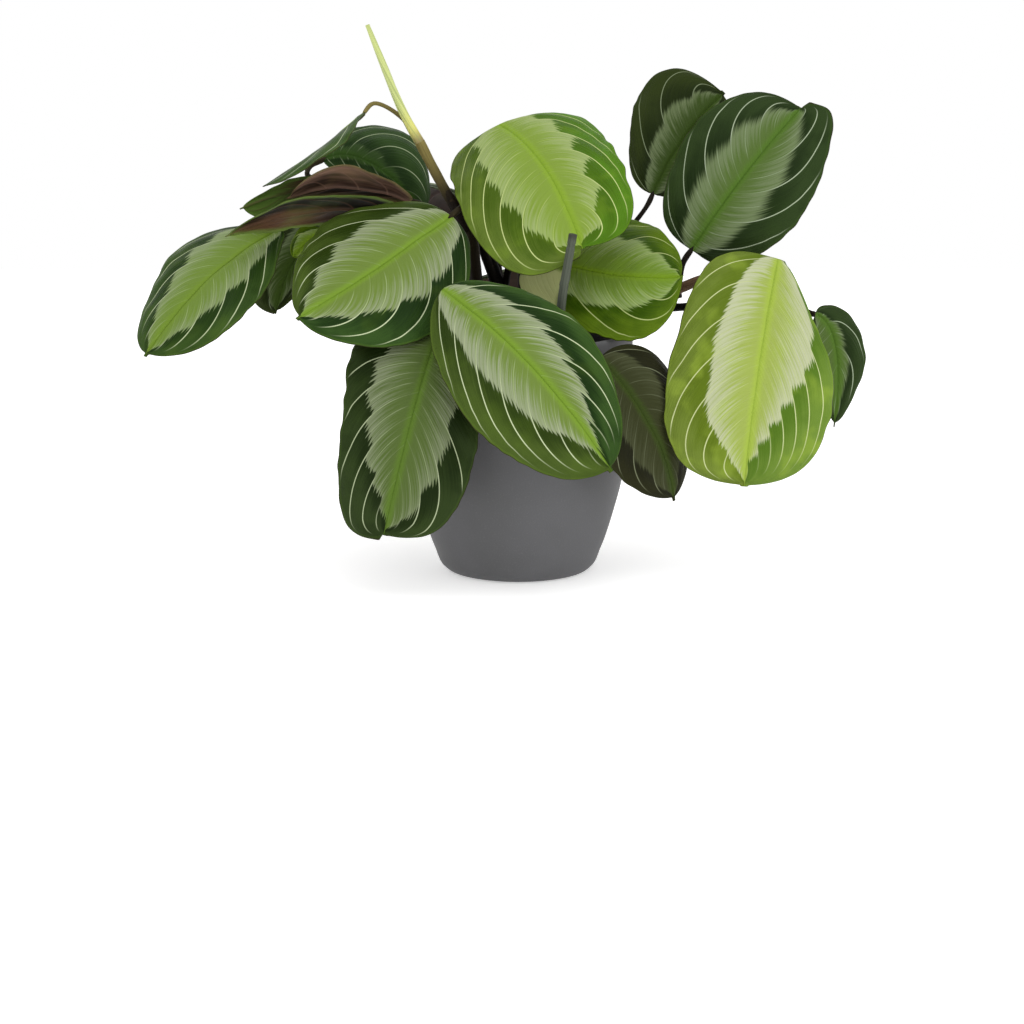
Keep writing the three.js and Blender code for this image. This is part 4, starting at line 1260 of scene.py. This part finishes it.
def add_pot():
    """Foot, side, half-round rim and inside in one profile."""
    angle = np.linspace(0, np.pi, 9)[1:-1]
    rim_radius = RIM - WALL / 2 + WALL / 2 * np.cos(angle)
    rim = np.stack([rim_radius, HEIGHT - LIP + LIP * np.sin(angle)], 1)
    foot, floor_edge = [[RIM - 27, 0.0]], [[INNER - 27, FLOOR_TOP]]
    side, inside = profile_curve(POT_SIDE, 2.0), profile_curve(POT_INSIDE, 4.0)
    rings = turned(np.vstack([foot, side, rim, inside, floor_edge]), POT_SIDES)
    piece = add_piece("planter", rings.reshape(-1, 3), skin_faces(len(rings), POT_SIDES), [pot_finish()])
    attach(piece, "root")
    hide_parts("pot")
    print("rings of the pot:", len(rings))


add_pot()

# %% The soil
SOIL_TOP = 125.0
SOIL_RADIUS = 60.2
SOIL_SIDES = 160


def soil_finish(name, base, light, scale):
    """Two browns mixed by a coarse noise, with the same noise as bumps."""
    finish = Finish(name, roughness=0.95, specular=0.15)
    lump = finish.noise(finish.place(), scale, 4, 0.7)
    finish.paint(finish.blend(finish.ease(lump, 0.35, 0.7), base, light))
    finish.bump(lump, 0.8 * MM, 0.9)
    return finish.material


def add_soil():
    """A turned body whose top is a disc of rings with bumps of 0.2 to 1 mm from sums of waves."""
    inset = np.array(POT_INSIDE[1:]) - [0.4, 0.3]
    inset = profile_curve(inset[inset[:, 1] < SOIL_TOP][::-1], 4.0)
    side = np.vstack([[[0.5, 5.3]], inset, [[SOIL_RADIUS, 119]]])
    radius = np.linspace(SOIL_RADIUS, 0.4, 60)
    top = np.stack([radius, SOIL_TOP - 1.2 + 0 * radius], 1)
    rings = turned(np.vstack([side, top]), SOIL_SIDES)
    flat = rings[len(side):]
    bump = 0.55 * ripples(flat, 14, 11, 5) + 0.3 * ripples(flat, 18, 4, 6)
    flat[..., 2] += bump * np.clip((SOIL_RADIUS - radius) / 3, 0, 1)[:, None]
    finish = soil_finish("soil_dark", seen(34, 26, 20), seen(74, 58, 44), 420)
    piece = add_piece("potting_soil", rings.reshape(-1, 3), skin_faces(len(rings), SOIL_SIDES), [finish])
    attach(piece, "root")
    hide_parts("soil")
    print("rings of the soil:", len(rings))


add_soil()

# %% The crumbs on the soil
CRUMBS = 900
CRUMB_SPREAD = 57


def lump_shape():
    """An icosahedron about 1 in radius: 12 points on golden rectangles, 20 faces."""
    g = (1 + 5**0.5) / 2
    points = np.array([[-1, g, 0], [1, g, 0], [-1, -g, 0], [1, -g, 0], [0, -1, g], [0, 1, g],
                       [0, -1, -g], [0, 1, -g], [g, 0, -1], [g, 0, 1], [-g, 0, -1], [-g, 0, 1]])
    faces = np.array([[0, 11, 5], [0, 5, 1], [0, 1, 7], [0, 7, 10], [0, 10, 11], [1, 5, 9], [5, 11, 4],
                      [11, 10, 2], [10, 7, 6], [7, 1, 8], [3, 9, 4], [3, 4, 2], [3, 2, 6], [3, 6, 8],
                      [3, 8, 9], [4, 9, 5], [2, 4, 11], [6, 2, 10], [8, 6, 7], [9, 8, 1]])
    return points / 1.9, faces


def add_crumbs():
    """The lump, stretched, turned about the axis and placed at random: place + turn * (size * p)."""
    draw = np.random.default_rng(41)
    shape, faces = lump_shape()
    size = draw.gamma(3.0, 0.42, (CRUMBS, 1, 1)) + 0.5
    stretch = draw.uniform(0.6, 1.5, (CRUMBS, 1, 3)) * [1, 1, 0.7]
    dented = shape * (1 + 0.25 * draw.normal(size=(CRUMBS, len(shape), 1)))
    local = dented * stretch * size
    turn = draw.uniform(0, 2 * np.pi, (CRUMBS, 1))
    x = local[..., 0] * np.cos(turn) - local[..., 1] * np.sin(turn)
    y = local[..., 0] * np.sin(turn) + local[..., 1] * np.cos(turn)
    spread = CRUMB_SPREAD * np.sqrt(draw.uniform(0, 1, (CRUMBS, 1)))
    bearing = draw.uniform(0, 2 * np.pi, (CRUMBS, 1))
    height = SOIL_TOP - 1.1 + local[..., 2] + draw.uniform(-0.4, 0.7, (CRUMBS, 1))
    points = np.stack([x + spread * np.cos(bearing), y + spread * np.sin(bearing), height], -1)
    every = (faces[None] + len(shape) * np.arange(CRUMBS)[:, None, None]).reshape(-1, 3)
    finish = soil_finish("soil_crumb", seen(44, 33, 25), seen(96, 76, 58), 700)
    piece = add_piece("soil_crumbs", points.reshape(-1, 3), every.tolist(), [finish])
    piece.data.polygons.foreach_set("use_smooth", np.zeros(len(every), bool))
    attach(piece, "root")


add_crumbs()
print("crumbs:", CRUMBS)

# %% [markdown]
# ## The sizes
#
# The dressed plant has to keep the size of the frame.

# %% Sizes
dressed_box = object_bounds()
boxes = {"cad": cad_box, "visual": dressed_box}
for label, box in boxes.items():
    print(label, "size in mm:", [round((high - low) / MM, 1) for low, high in zip(*box)])
